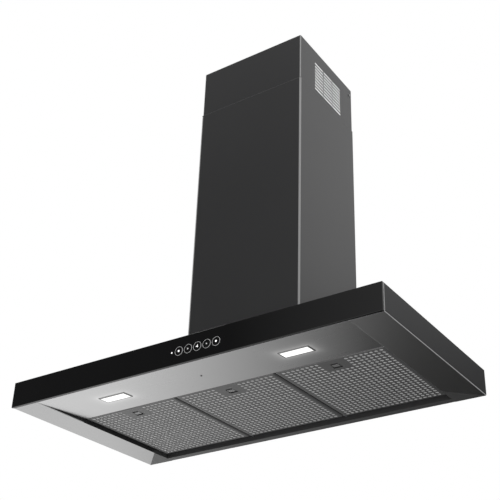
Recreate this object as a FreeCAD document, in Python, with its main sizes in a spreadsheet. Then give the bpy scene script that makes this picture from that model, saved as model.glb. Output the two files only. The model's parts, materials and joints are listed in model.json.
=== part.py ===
"""Chimney range hood, 90 cm class, wall mounted.

Lengths are in millimetres.  The frame's origin is the middle of the canopy's back at the level of
its underside: X runs to the right as seen from the front, +Y into the wall and +Z up, so the
front of the hood looks along -Y.
"""
import FreeCAD, Part
import math
import os
import Sketcher

VECTOR = FreeCAD.Vector
OVER = 1        # cutters reach this far past the faces that they open
FOLD_EDGE = 50  # edges shorter than this are no folds
doc = FreeCAD.newDocument("chimney_hood")

# Driving dimensions: alias, value, what it measures.
SIZES = [
    # canopy
    ("hood_width", 898, "canopy, left to right"),
    ("hood_depth", 465, "canopy, wall to the face of the glass"),
    ("canopy_height", 57, "canopy, underside to top plate"),
    ("glass_thick", 5, "front glass"),
    ("glass_edge", 0.6, "polished chamfer round the glass"),
    ("tape_thick", 1, "bonding tape between glass and steel"),
    ("tape_width", 9, "height of each strip of tape"),
    ("canopy_sheet", 1, "folded steel of the canopy"),
    ("bend_round", 2.5, "outside radius of the canopy's folds"),
    ("side_strip", 70, "width of the underside left and right of the recess"),
    ("back_strip", 20, "width of the underside behind the recess"),
    ("recess_rise", 24, "height of the folds that line the recess"),
    ("mitre_gap", 0.3, "open seam where side strip and rear strip meet"),
    ("stiff_plate", 2, "thickness of the plates behind the hanging holes"),
    ("stiff_side", 36, "side of the plates behind the hanging holes"),
    ("hang_spacing", 360, "between the two hanging holes"),
    ("hang_height", 38, "hanging holes above the underside"),
    ("hang_hole", 4, "radius of a hanging hole"),
    # lamp panel and lamps
    ("panel_depth", 141.5, "lamp panel, front to rear"),
    ("panel_rise", 7, "climb of the lamp panel towards the filters"),
    ("panel_lip", 12, "front flange of the lamp panel"),
    ("panel_round", 1.2, "outside radius of the lamp panel's rear fold"),
    ("panel_end_gap", 0.5, "between the lamp panel and the recess's sides"),
    ("lamp_spacing", 448, "between the middles of the two lamps"),
    ("lamp_back", 70.5, "lamp middles behind the panel's front edge"),
    ("lamp_length", 69, "lamp bezel, long side"),
    ("lamp_width", 30, "lamp bezel, short side"),
    ("lamp_rim", 3.5, "bezel round the lens"),
    ("lamp_flange", 1.2, "thickness of the bezel below the panel"),
    ("lamp_round", 0.7, "rounded edge of the bezel"),
    ("lamp_ledge", 1, "ledge that the lens rests on"),
    ("lamp_roof", 2, "top of the lamp body"),
    ("lamp_height", 15, "lamp body above the panel"),
    ("lens_thick", 2, "frosted lens"),
    ("fit_gap", 0.2, "slip clearance of pieces set into openings"),
    ("stay_width", 24, "bracket that carries the middle of the lamp panel"),
    ("stay_gap", 0.6, "between the lamp panel and the foot of its bracket"),
    ("pin_screw", 1.2, "radius of the panel screw's shank"),
    ("pin_screw_head", 1.8, "radius of the panel screw's head"),
    ("pin_head_thick", 0.8, "height of the panel screw's head"),
    ("pin_screw_length", 12, "length of the panel screw's shank"),
    ("screw_round", 1.8, "radius of the other screws' shanks"),
    ("screw_head", 3.4, "radius of the other screws' heads"),
    ("head_thick", 1.6, "height of the other screws' heads"),
    # grease filters
    ("filter_thick", 9, "one filter, underside to top"),
    ("filter_sheet", 0.8, "perforated tray and back of a filter"),
    ("filter_round", 3, "rolled edge of the tray"),
    ("filter_gap", 1.5, "between the lamp panel and the filters"),
    ("filter_side", 4, "between the recess's sides and the outer filters"),
    ("filter_between", 3, "from filter to filter"),
    ("filter_rear", 11, "between the filters and the rear strip"),
    ("hole_pitch", 38, "spacing of the tray's holes"),
    ("hole_size", 18, "a hole, corner to corner"),
    ("hole_edge", 12, "outermost holes from the tray's sides"),
    ("core_thick", 0.5, "corrugated mesh layer"),
    ("core_wave", 22, "pitch of the corrugation"),
    ("back_bar", 12, "bars of the filter's back sheet"),
    ("back_columns", 3, "windows of the back sheet, left to right"),
    ("back_rows", 2, "windows of the back sheet, front to rear"),
    ("hook_width", 25, "hook that hangs a filter on the rod"),
    ("hook_thick", 1, "strap of a hook"),
    ("hook_seat", 10, "part of the strap that lies on the filter"),
    ("hook_spacing", 160, "between the two hooks of a filter"),
    ("hinge_round", 2, "radius of the rod that the filters hang on"),
    ("hinge_clear", 0.12, "running clearance of hinges"),
    ("hinge_reach", 5.5, "rod's middle behind the filters"),
    ("rod_bracket", 2, "plates that carry the rod between filters"),
    # latch of a filter
    ("latch_plate", 55, "plain field round the latch, left to right"),
    ("latch_field", 50, "plain field round the latch, front to rear"),
    ("window_front", 20, "front edge of the finger window behind the filter's front"),
    ("window_depth", 22, "finger window, front to rear"),
    ("window_narrow", 15, "finger window, width at its front"),
    ("window_wide", 21, "finger window, width at its rear"),
    ("grip_depth", 11, "finger bar, front to rear"),
    ("grip_width", 26, "finger bar, left to right, wider than its window"),
    ("bolt_width", 12, "bolt that locks the filter"),
    ("bolt_thick", 1.4, "bolt and slider plate"),
    ("bolt_travel", 5, "travel of the bolt"),
    ("bolt_room", 0.6, "room round the bolt in its slots"),
    ("guide_width", 52, "guide cup of the latch"),
    ("guide_depth", 44, "guide cup, front to rear"),
    # controls
    ("button_middle", 46.8, "middle button, right of the hood's middle"),
    ("button_pitch", 22.4, "from button to button"),
    ("button_height", 27, "buttons above the underside"),
    ("ring_round", 9.5, "outer radius of the ring round a button"),
    ("ring_wall", 0.9, "wall of that ring"),
    ("ring_proud", 0.4, "ring in front of the glass"),
    ("button_clear", 0.3, "gap between button and ring"),
    ("button_proud", 0.5, "button in front of the glass"),
    ("button_travel", 1.2, "stroke of a button"),
    ("button_cap", 7, "length of a button's cap"),
    ("snap_reach", 0.8, "snap ears that keep a button behind its ring"),
    ("snap_thick", 1.2, "snap ears, front to rear"),
    ("snap_height", 5, "snap ears, bottom to top"),
    ("stem_side", 4, "side of a button's stem"),
    ("led_reach", 17.3, "indicator to the left of the first button"),
    ("led_round", 1.6, "radius of the indicator"),
    ("board_thick", 1.6, "control board"),
    ("board_back", 14, "control board behind the steel front"),
    ("switch_side", 6, "side of a switch"),
    ("switch_thick", 3.5, "height of a switch"),
    ("housing_wall", 1.5, "wall of the control housing"),
    ("housing_height", 28, "control housing, bottom to top"),
    ("housing_end", 14, "control housing beyond the outer buttons"),
    # chimney
    ("chimney_width", 296, "lower cover, left to right"),
    ("chimney_depth", 257.5, "lower cover, wall to front"),
    ("lower_height", 743, "lower cover, bottom to top"),
    ("total_height", 935, "underside of the hood to the top of the chimney"),
    ("upper_length", 450, "upper cover, bottom to top"),
    ("cover_sheet", 0.8, "folded steel of the covers"),
    ("cover_round", 2, "outside radius of the covers' folds"),
    ("cover_clear", 0.5, "between the two covers"),
    ("cover_return", 10, "folds of the covers along the wall"),
    ("vent_rows", 9, "rows of slots"),
    ("vent_columns", 3, "slots side by side"),
    ("vent_length", 40, "one slot, front to rear"),
    ("vent_height", 5, "one slot, bottom to top"),
    ("vent_bridge", 3.6, "steel between two slots of a row"),
    ("vent_pitch", 9.9, "from row to row"),
    ("vent_front", 68.8, "slots behind the upper cover's front"),
    ("vent_top", 37, "slots below the chimney's top"),
    ("clip_side", 25, "clips that hold the lower cover"),
    ("clip_sheet", 1.2, "sheet of clips and brackets"),
    # upper wall bracket
    ("bracket_height", 30, "upper wall bracket, bottom to top"),
    ("bracket_drop", 6, "bracket below the chimney's top"),
    ("bracket_ear", 26, "bracket's ears, wall to front"),
    ("bracket_pad", 25, "bracket's pads on the wall, left to right"),
    ("bracket_hole", 3, "radius of the bracket's wall holes"),
    ("ear_screw", 12, "ear screws in front of the wall"),
    ("screw_slot", 15, "adjusting slot of an ear screw"),
    ("screw_reach", 5, "ear screw's shank inside the cover's outer face"),
    # blower
    ("box_width", 260, "blower box, left to right"),
    ("box_depth", 222.5, "blower box, wall side to front"),
    ("box_height", 290, "blower box, bottom to top"),
    ("box_back", 17.5, "blower box in front of the wall"),
    ("box_sheet", 1, "sheet of the blower box"),
    ("box_foot", 8, "flange round the foot of the blower box"),
    ("inlet_margin", 10, "sheet left round the canopy's inlet opening"),
    ("scroll_width", 140, "scroll housing, left to right"),
    ("scroll_start", 82, "smallest radius of the scroll"),
    ("scroll_step", 10, "growth of the scroll at each quarter"),
    ("scroll_wall", 1.5, "wall of the scroll housing"),
    ("scroll_back", 125, "impeller axis in front of the wall"),
    ("scroll_height", 113, "impeller axis above the canopy"),
    ("scroll_neck", 75, "length of the scroll's straight neck"),
    ("inlet_round", 54, "radius of the scroll's inlets"),
    ("wheel_round", 70, "radius of the impeller"),
    ("wheel_width", 116, "impeller, left to right"),
    ("wheel_ring", 4, "end rings of the impeller"),
    ("blade_count", 20, "blades of the impeller"),
    ("blade_chord", 13, "depth of a blade"),
    ("blade_thick", 1.2, "thickness of a blade"),
    ("blade_rim", 1, "blades' outer edges inside the wheel's rim"),
    ("blade_lead", 6, "degrees that a blade leans forward"),
    ("blade_curve", 2.4, "bulge of a blade"),
    ("disc_thick", 2.4, "middle disc of the impeller"),
    ("hub_round", 11, "radius of the impeller's hub"),
    ("hub_length", 30, "length of the impeller's hub"),
    ("shaft_round", 4, "radius of the motor shaft"),
    ("shaft_clear", 0.05, "running clearance of the shaft"),
    ("shaft_reach", 14, "shaft inside the motor"),
    ("motor_round", 42, "radius of the motor"),
    ("motor_length", 72, "length of the motor"),
    ("motor_chamfer", 4, "chamfer of the motor's outer end"),
    ("motor_gap", 3, "between hub and motor"),
    ("arm_width", 14, "arms and band of the motor bracket"),
    ("arm_foot", 12, "arms of the motor bracket on the scroll housing"),
    ("arm_thick", 2.4, "sheet of the motor bracket"),
    ("collar_round", 75, "outer radius of the duct collar"),
    ("collar_wall", 1.5, "wall of the duct collar"),
    ("collar_height", 45, "duct collar above its flange"),
    ("collar_flange", 10, "flange of the duct collar"),
    ("collar_back", 128.75, "duct collar's middle in front of the wall"),
    ("flap_thick", 1, "backdraught flaps"),
    ("flap_gap", 0.6, "between flap and collar"),
    ("flap_pins", 8, "between the two flap pins"),
    ("flap_pin", 1.5, "radius of a flap pin"),
    ("flap_lift", 8, "flap pins above the collar's flange"),
    ("pin_block", 4, "blocks in the collar that carry the flap pins"),
    ("cap_round", 15, "radius of the motor capacitor"),
    ("cap_length", 55, "length of the motor capacitor"),
    ("cap_drop", 88, "foot of the capacitor below the box's top"),
    ("terminal_width", 6.3, "flat terminals of the capacitor"),
    ("terminal_thick", 0.8, "thickness of those terminals"),
    ("terminal_height", 8, "height of those terminals"),
    ("terminal_spacing", 12, "between the two terminals"),
    ("elec_length", 58, "electronics box, left to right"),
    ("elec_width", 38, "electronics box, front to rear"),
    ("elec_height", 24, "electronics box, bottom to top"),
    ("elec_wall", 2, "wall of the electronics box"),
    ("gland_round", 8, "radius of the cable gland's nut, corner to middle"),
    ("gland_neck", 5.5, "radius of the gland above its nut"),
    ("gland_bore", 3.6, "radius of the gland's bore"),
    ("gland_length", 16, "height of the cable gland"),
]


class Formula:
    """A number together with the sheet formula that gives it."""

    def __init__(self, number, text):
        self.number = float(number)
        self.text = text

    def __add__(self, other):
        other = formula(other)
        return Formula(self.number + other.number, f"({self.text} + {other.text})")

    def __sub__(self, other):
        other = formula(other)
        return Formula(self.number - other.number, f"({self.text} - {other.text})")

    def __mul__(self, other):
        other = formula(other)
        return Formula(self.number * other.number, f"({self.text} * {other.text})")

    def __truediv__(self, other):
        other = formula(other)
        return Formula(self.number / other.number, f"({self.text} / {other.text})")

    def __radd__(self, other):
        return formula(other) + self

    def __rsub__(self, other):
        return formula(other) - self

    def __rmul__(self, other):
        return formula(other) * self

    def __neg__(self):
        return Formula(-self.number, f"(-1 * {self.text})")

    def __float__(self):
        return self.number

    def __int__(self):
        return round(self.number)


def formula(value):
    """The value as a Formula, also where it is a plain number."""
    return value if isinstance(value, Formula) else Formula(value, f"({value})")


def fill_sheet():
    """Write the driving dimensions to the sheet and give them back as formulas."""
    sheet = doc.addObject("Spreadsheet::Sheet", "dims")
    for row, (alias, value, meaning) in enumerate(SIZES, start=1):
        sheet.set(f"A{row}", alias)
        sheet.set(f"B{row}", str(value))
        sheet.set(f"C{row}", meaning)
        sheet.setAlias(f"B{row}", alias)
    doc.recompute()
    return {alias: Formula(sheet.get(alias), f"dims.{alias}") for alias, _, _ in SIZES}


class Names:
    """The driving dimensions, read as attributes."""

    def __init__(self, values):
        self.__dict__.update(values)


d = Names(fill_sheet())

# Places that several pieces share.
HALF_WIDTH = d.hood_width / 2
STEEL_FRONT = d.glass_thick + d.tape_thick - d.hood_depth
STEEL_BACK = STEEL_FRONT + d.canopy_sheet
CANOPY_TOP = d.canopy_height
CEILING = d.canopy_height - d.canopy_sheet
RECESS_SIDE = HALF_WIDTH - d.side_strip
PANEL_FRONT = STEEL_BACK
PANEL_REAR = PANEL_FRONT + d.panel_depth
FILTER_FRONT = PANEL_REAR + d.filter_gap
FILTER_REAR = -(d.back_strip + d.filter_rear)
FILTER_WIDTH = ((RECESS_SIDE - d.filter_side - d.filter_between) * 2) / 3
FILTER_PITCH = FILTER_WIDTH + d.filter_between
FILTER_LOW = d.panel_rise
FILTER_HIGH = FILTER_LOW + d.filter_thick
HINGE_BACK = FILTER_REAR + d.hinge_reach
HINGE_HIGH = FILTER_HIGH - d.hinge_round - d.hinge_clear
BOLT_LOW = FILTER_LOW + d.filter_thick / 2 - d.bolt_thick / 2
BOLT_HALF = d.bolt_width / 2
WINDOW_FRONT = FILTER_FRONT + d.window_front
WINDOW_REAR = WINDOW_FRONT + d.window_depth
LATCH_LOW = FILTER_LOW + d.filter_sheet
CHIMNEY_HALF = d.chimney_width / 2
LOWER_TOP = CANOPY_TOP + d.lower_height
UPPER_HALF = CHIMNEY_HALF - d.cover_sheet - d.cover_clear
UPPER_FRONT = d.cover_sheet + d.cover_clear - d.chimney_depth
UPPER_BACK = -(d.cover_sheet + d.cover_clear)
UPPER_LOW = d.total_height - d.upper_length
BOX_FRONT = -(d.box_back + d.box_depth)
BOX_BACK = -d.box_back
BOX_TOP = CANOPY_TOP + d.box_height
AXIS_Y = -d.scroll_back
AXIS_Z = CANOPY_TOP + d.scroll_height
COLLAR_Y = -d.collar_back
FLAP_Z = BOX_TOP + d.box_sheet + d.flap_lift
COLLAR_INSIDE = d.collar_round - d.collar_wall
BUTTON_RADIUS = d.ring_round - d.ring_wall - d.button_clear
BUTTON_ROW = range(-2, 3)
GLASS_FRONT = -d.hood_depth
GLASS_BACK = GLASS_FRONT + d.glass_thick
SLOPE = Formula(math.degrees(math.atan2(d.panel_rise.number, d.panel_depth.number)),
                "atan(dims.panel_rise / dims.panel_depth)")
FILTER_NAMES = {"left": -1, "centre": 0, "right": 1}
SCREW_SIDES = 6
BARREL_SIDES = 8
ROUND_SIDES = 24  # flats that stand for the curve of round pieces on which nothing turns
QUARTER_SIDES = 6  # flats in each quarter turn of the scroll

TURNS = {
    "X": FreeCAD.Rotation(VECTOR(0, 1, 0), 90),
    "Y": FreeCAD.Rotation(VECTOR(1, 0, 0), -90),
    "Z": FreeCAD.Rotation(),
}
# Sketch planes: turn of the sketch, and the direction that it is extruded in.
PLANES = {
    "XY": (FreeCAD.Rotation(), VECTOR(0, 0, 1), "z"),
    "XZ": (FreeCAD.Rotation(VECTOR(1, 0, 0), 90), VECTOR(0, 1, 0), "y"),
    "YZ": (FreeCAD.Rotation(VECTOR(1, 1, 1), 120), VECTOR(1, 0, 0), "x"),
}


# ---------------------------------------------------------------- building blocks

def bind(thing, name, value):
    """Tie a property to the sheet."""
    thing.setExpression(name, formula(value).text)


def put(thing, x, y, z):
    """Tie the place of an object to the sheet."""
    for axis, value in zip("xyz", (x, y, z)):
        bind(thing, f"Placement.Base.{axis}", value)


def slab(label, x, y, z):
    """Box between the two values of each pair."""
    thing = doc.addObject("Part::Box", label)
    for name, (low, high) in zip(("Length", "Width", "Height"), (x, y, z)):
        bind(thing, name, formula(high) - low)
    put(thing, x[0], y[0], z[0])
    return thing


def drum(label, radius, length, at, axis="Z"):
    """Cylinder that starts at a point and runs along an axis."""
    thing = doc.addObject("Part::Cylinder", label)
    bind(thing, "Radius", radius)
    bind(thing, "Height", length)
    thing.Placement = FreeCAD.Placement(VECTOR(), TURNS[axis])
    put(thing, *at)
    return thing


def bar(label, sides, radius, length, at, axis="Z"):
    """Bar with flat sides, its radius measured to the corners."""
    thing = doc.addObject("Part::Prism", label)
    thing.Polygon = int(sides)
    bind(thing, "Circumradius", radius)
    bind(thing, "Height", length)
    thing.Placement = FreeCAD.Placement(VECTOR(), TURNS[axis])
    put(thing, *at)
    return thing


def corner_radius(inner, sides):
    """Radius to the corners of a polygon whose flats touch a circle."""
    return inner / math.cos(math.pi / sides)


def join(label, pieces):
    """One solid from pieces that touch or overlap."""
    thing = doc.addObject("Part::MultiFuse", label)
    thing.Shapes = pieces
    thing.Refine = True
    return thing


def gather(label, pieces):
    """Separate solids kept in one node."""
    thing = doc.addObject("Part::Compound", label)
    thing.Links = pieces
    return thing


def cut(label, base, tools):
    """The base without the tools."""
    thing = doc.addObject("Part::Cut", label)
    thing.Base = base
    thing.Tool = tools[0] if len(tools) == 1 else join(label + "_tools", tools)
    thing.Refine = True
    return thing


def pipe(label, outer, inner, length, at, axis="Z"):
    """Round tube that starts at a point and runs along an axis."""
    return cut(label, drum(label + "_outside", outer, length, at, axis),
               [drum(label + "_bore", inner, length, at, axis)])


def band(label, sides, outer, inner, length, at, axis="Z"):
    """Tube with flat sides, its radii measured to the corners."""
    return cut(label, bar(label + "_outside", sides, outer, length, at, axis),
               [bar(label + "_inside", sides, inner, length, at, axis)])


def pair(side, inner, outer):
    """The stretch between two distances from the middle, on one side of it."""
    return (inner, outer) if side > 0 else (-outer, -inner)


def outline(sketch, points):
    """Closed polygon through points whose coordinates are tied to the sheet."""
    first = sketch.GeometryCount
    corners = [VECTOR(float(a), float(b), 0) for a, b in points]
    count = len(corners)
    for index in range(count):
        sketch.addGeometry(Part.LineSegment(corners[index], corners[(index + 1) % count]))
    for index in range(count):
        following = first + (index + 1) % count
        sketch.addConstraint(Sketcher.Constraint("Coincident", first + index, 2, following, 1))
    for index, point in enumerate(points):
        for kind, value in zip(("DistanceX", "DistanceY"), point):
            rule = Sketcher.Constraint(kind, -1, 1, first + index, 1, float(value))
            number = sketch.addConstraint(rule)
            sketch.setExpression(f"Constraints[{number}]", formula(value).text)


def prism(label, plane, points, low, high):
    """Polygon of a sketch plane, extruded between two values of the third axis."""
    turn, direction, axis = PLANES[plane]
    sketch = doc.addObject("Sketcher::SketchObject", label + "_sketch")
    sketch.Placement = FreeCAD.Placement(VECTOR(), turn)
    outline(sketch, points)
    bind(sketch, f"Placement.Base.{axis}", low)
    thing = doc.addObject("Part::Extrusion", label)
    thing.Base = sketch
    thing.DirMode = "Custom"
    thing.Dir = direction
    bind(thing, "LengthFwd", formula(high) - low)
    thing.Solid = True
    return thing


def chosen_edges(base, size, wanted):
    """Edges whose middle point the test accepts, with the size of their rounding or chamfer."""
    doc.recompute()
    edges = []
    for number, edge in enumerate(base.Shape.Edges, start=1):
        if wanted(edge.CenterOfMass, edge):
            edges.append((number, float(size), float(size)))
    return edges


def rounded(label, base, radius, wanted):
    """The base with the wanted edges rounded."""
    edges = chosen_edges(base, radius, wanted)
    thing = doc.addObject("Part::Fillet", label)
    thing.Base = base
    thing.Edges = edges
    return thing


def bevelled(label, base, size, wanted):
    """The base with a chamfer on the wanted edges."""
    edges = chosen_edges(base, size, wanted)
    thing = doc.addObject("Part::Chamfer", label)
    thing.Base = base
    thing.Edges = edges
    return thing


def placed(label, piece, x):
    """The piece again, moved along X."""
    thing = gather(label, [piece])
    bind(thing, "Placement.Base.x", x)
    return thing


def near(value, target):
    """True where two lengths agree to a hundredth of a millimetre."""
    return abs(value - float(target)) < 0.01


def folded_cover(label, half, front, back, low, high, side_return):
    """Chimney cover: front, two sides and narrow folds along the wall, from one sheet."""
    wall = d.cover_sheet
    inside = half - wall
    lip = half - side_return
    points = [(-lip, back), (-half, back), (-half, front), (half, front), (half, back), (lip, back),
              (lip, back - wall), (inside, back - wall), (inside, front + wall),
              (-inside, front + wall), (-inside, back - wall), (-lip, back - wall)]
    plain = prism(label + "_plain", "XY", points, low, high)

    def outer_fold(middle, edge):
        return near(abs(middle.x), half) and near(middle.y, front) and edge.Length > FOLD_EDGE

    return rounded(label, plain, d.cover_round, outer_fold)


# ---------------------------------------------------------------- canopy

def canopy_shell():
    """Top, sides, front and side strips of the canopy, folded from one steel sheet."""
    wall = d.canopy_sheet
    outside = slab("canopy_block", (-HALF_WIDTH, HALF_WIDTH), (STEEL_FRONT, -wall), (0, CANOPY_TOP))
    outside = rounded("canopy_outside", outside, d.bend_round,
                      lambda middle, edge: near(abs(middle.x), HALF_WIDTH) and near(middle.z, 0)
                      and edge.Length > FOLD_EDGE)
    inner = HALF_WIDTH - wall
    inside = slab("canopy_hollow", (-inner, inner), (STEEL_BACK, 0), (wall, CEILING))
    inside = rounded("canopy_inside", inside, d.bend_round - wall,
                     lambda middle, edge: near(abs(middle.x), inner) and near(middle.z, wall)
                     and edge.Length > FOLD_EDGE)
    seam = d.mitre_gap
    recess = prism("canopy_recess", "XY",
                   [(-RECESS_SIDE, STEEL_BACK), (RECESS_SIDE, STEEL_BACK),
                    (RECESS_SIDE, -d.side_strip - seam), (HALF_WIDTH, -seam), (HALF_WIDTH, 0),
                    (-HALF_WIDTH, 0), (-HALF_WIDTH, -seam), (-RECESS_SIDE, -d.side_strip - seam)],
                   -OVER, wall * 1.5)
    shell = cut("canopy_folds", outside, [inside, recess, inlet_opening(), control_opening()])
    linings = []
    for side in (-1, 1):
        lining = slab("recess_lining", pair(side, RECESS_SIDE, RECESS_SIDE + wall),
                      (STEEL_BACK, -d.side_strip - seam), (0, d.recess_rise))
        linings.append(lining)
    return join("canopy_shell", [shell] + linings)


def inlet_opening():
    """Opening in the top plate that the blower draws through."""
    half = d.box_width / 2 - d.inlet_margin
    return slab("canopy_inlet", (-half, half),
                (BOX_FRONT + d.inlet_margin, BOX_BACK - d.inlet_margin),
                (CEILING - OVER, CANOPY_TOP + OVER))


def control_opening():
    """Opening in the steel front that the buttons pass through."""
    left, right = housing_ends()
    low, high = housing_levels()
    wall = d.housing_wall
    return slab("control_opening", (left + wall * 2, right - wall * 2),
                (STEEL_FRONT - OVER, STEEL_BACK + OVER), (low + wall * 2, high - wall * 2))


def back_rail():
    """Rear wall of the canopy with the rear strip and its mitred ends."""
    wall = d.canopy_sheet
    profile = [(0, 0), (0, CEILING), (-wall, CEILING), (-wall, wall), (-d.back_strip + wall, wall),
               (-d.back_strip + wall, d.recess_rise), (-d.back_strip, d.recess_rise),
               (-d.back_strip, 0)]
    inner = HALF_WIDTH - wall
    rail = prism("rail_plain", "YZ", profile, -inner, inner)
    rail = rounded("rail_rounded", rail, d.bend_round,
                   lambda middle, edge: near(middle.y, 0) and near(middle.z, 0))
    ends = []
    for side in (-1, 1):
        gusset = prism("rail_gusset", "XY",
                       [(side * inner, -wall), (side * RECESS_SIDE, -d.side_strip),
                        (side * RECESS_SIDE, -wall)], 0, wall)
        trim = slab("rail_trim", pair(side, RECESS_SIDE + wall, inner),
                    (-d.back_strip, -wall), (wall, d.recess_rise + OVER))
        trim_low = prism("rail_mitre", "XY",
                         [(side * inner, -wall), (side * inner, -d.back_strip - OVER),
                          (side * (inner - d.back_strip), -d.back_strip - OVER)],
                         -wall, wall * 2)
        lining = slab("rail_lining", pair(side, RECESS_SIDE, RECESS_SIDE + wall),
                      (-d.side_strip, -d.back_strip + wall), (0, d.recess_rise))
        ends.append((gusset, trim, trim_low, lining))
    body = cut("rail_trimmed", rail, [piece for end in ends for piece in end[1:3]])
    welded = [end[0] for end in ends] + [end[3] for end in ends] + hanging_plates()
    whole = join("rail_body", [body] + welded)
    return cut("back_rail", whole, hanging_holes("rail"))


def hanging_holes(label):
    """The two holes that the hood hangs by."""
    holes = []
    depth = d.canopy_sheet + d.stiff_plate
    for side in (-1, 1):
        at = (side * d.hang_spacing / 2, -depth - OVER, d.hang_height)
        holes.append(drum(f"{label}_hanging_hole", d.hang_hole, depth + OVER * 2, at, "Y"))
    return holes


def hanging_plates():
    """Thick plates welded inside the rear wall, round the hanging holes."""
    plates = []
    half = d.stiff_side / 2
    top = CEILING - d.fit_gap
    for side in (-1, 1):
        middle = side * d.hang_spacing / 2
        plates.append(slab("hanging_plate", (middle - half, middle + half),
                           (-d.canopy_sheet - d.stiff_plate, -d.canopy_sheet),
                           (top - d.stiff_side, top)))
    return plates


def front_glass():
    """Black glass across the whole front, drilled for the buttons and the indicator."""
    body = doc.addObject("PartDesign::Body", "front_glass")
    sketch = body_sketch(body, "XZ_Plane", "glass_outline", -GLASS_BACK)
    outline(sketch, [(-HALF_WIDTH, 0), (HALF_WIDTH, 0), (HALF_WIDTH, CANOPY_TOP),
                     (-HALF_WIDTH, CANOPY_TOP)])
    pane = body.newObject("PartDesign::Pad", "glass_pane")
    pane.Profile = sketch
    bind(pane, "Length", d.glass_thick)
    doc.recompute()
    edge = body.newObject("PartDesign::Chamfer", "glass_chamfer")
    faces = [f"Face{number}" for number, face in enumerate(pane.Shape.Faces, start=1)
             if near(face.CenterOfMass.y, GLASS_FRONT)]
    edge.Base = (pane, faces)
    bind(edge, "Size", d.glass_edge)
    doc.recompute()
    hole = body_sketch(body, "XZ_Plane", "first_button_hole", -GLASS_BACK)
    circle(hole, button_x(-2), d.button_height, d.ring_round)
    bore = body.newObject("PartDesign::Pocket", "button_hole")
    bore.Profile = hole
    bore.Type = "Length"
    bore.Reversed = True
    bind(bore, "Length", d.glass_thick + OVER)
    doc.recompute()
    row = body.newObject("PartDesign::LinearPattern", "button_holes")
    row.Originals = [bore]
    row.Direction = (hole, ["H_Axis"])
    row.Occurrences = len(BUTTON_ROW)
    bind(row, "Length", d.button_pitch * (len(BUTTON_ROW) - 1))
    body.Tip = row
    doc.recompute()
    spot = body_sketch(body, "XZ_Plane", "indicator_spot", -GLASS_BACK)
    circle(spot, button_x(-2) - d.led_reach, d.button_height, d.led_round + d.fit_gap)
    drilled = body.newObject("PartDesign::Pocket", "indicator_hole")
    drilled.Profile = spot
    drilled.Type = "Length"
    drilled.Reversed = True
    bind(drilled, "Length", d.glass_thick + OVER)
    body.Tip = drilled
    return body


def body_sketch(body, role, label, offset):
    """Sketch on an origin plane of a body, shifted along the plane's normal."""
    sketch = body.newObject("Sketcher::SketchObject", label)
    plane = [item for item in body.Origin.OriginFeatures if item.Role == role][0]
    sketch.AttachmentSupport = (plane, [""])
    sketch.MapMode = "FlatFace"
    bind(sketch, "AttachmentOffset.Base.z", offset)
    return sketch


def circle(sketch, across, up, radius):
    """Circle whose middle and radius are tied to the sheet."""
    middle = VECTOR(float(across), float(up), 0)
    number = sketch.addGeometry(Part.Circle(middle, VECTOR(0, 0, 1), float(radius)))
    rules = [(Sketcher.Constraint("DistanceX", -1, 1, number, 3, float(across)), across),
             (Sketcher.Constraint("DistanceY", -1, 1, number, 3, float(up)), up),
             (Sketcher.Constraint("Radius", number, float(radius)), radius)]
    for rule, value in rules:
        sketch.setExpression(f"Constraints[{sketch.addConstraint(rule)}]", formula(value).text)


def glass_tape():
    """Two strips of tape that bond the glass to the steel front."""
    strips = []
    end = HALF_WIDTH - d.tape_width
    for low in (d.fit_gap, CANOPY_TOP - d.tape_width - d.fit_gap):
        strips.append(slab("tape_strip", (-end, end), (GLASS_BACK, STEEL_FRONT),
                           (low, low + d.tape_width)))
    return gather("glass_tape", strips)


# ---------------------------------------------------------------- lamp panel

def panel_place(thing, across, back):
    """Set a piece drawn on a level plane onto the sloping lamp panel."""
    thing.Placement = FreeCAD.Placement(VECTOR(), FreeCAD.Rotation(VECTOR(1, 0, 0), 1))
    bind(thing, "Placement.Rotation.Angle", SLOPE)
    put(thing, across, PANEL_FRONT + back, d.panel_rise * back / d.panel_depth)


def lens_half():
    """Half the length and half the width of a lamp's lens."""
    return (d.lamp_length / 2 - d.lamp_rim, d.lamp_width / 2 - d.lamp_rim)


def lamp_slab(label, growth, levels):
    """Box round a lamp's middle, larger than the lens by the growth on each side."""
    length, width = lens_half()
    return slab(label, (-(length + growth), length + growth), (-(width + growth), width + growth),
                levels)


def lamp_opening(label, side):
    """Cutter for the opening that a lamp body passes through."""
    deep = d.canopy_sheet + d.panel_round + OVER
    holder = gather(label + "_set", [lamp_slab(label, d.lamp_ledge, (-deep, deep))])
    panel_place(holder, side * d.lamp_spacing / 2, d.lamp_back)
    return holder


def lamp_panel():
    """Folded panel between the glass and the filters, climbing towards the filters."""
    wall = d.canopy_sheet
    end = RECESS_SIDE - d.panel_end_gap
    profile = [(PANEL_FRONT, 0), (PANEL_REAR, d.panel_rise), (PANEL_REAR, d.recess_rise),
               (PANEL_REAR - wall, d.recess_rise), (PANEL_REAR - wall, d.panel_rise + wall),
               (PANEL_FRONT + wall, wall), (PANEL_FRONT + wall, d.panel_lip),
               (PANEL_FRONT, d.panel_lip)]
    plain = prism("panel_plain", "YZ", profile, -end, end)
    folds = rounded("panel_folds", plain, d.panel_round,
                    lambda middle, edge: near(middle.y, PANEL_REAR) and near(middle.z, d.panel_rise))
    tools = [lamp_opening("panel_lamp_opening", side) for side in (-1, 1)]
    for step in FILTER_NAMES.values():
        tools.append(bolt_slot("panel_bolt_slot", step * FILTER_PITCH, PANEL_REAR - wall, wall))
    tools.append(bar("panel_screw_hole", SCREW_SIDES, d.pin_screw, d.panel_rise + OVER * 3,
                     (0, PANEL_FRONT + d.lamp_back, -OVER)))
    return cut("lamp_panel", folds, tools)


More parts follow.
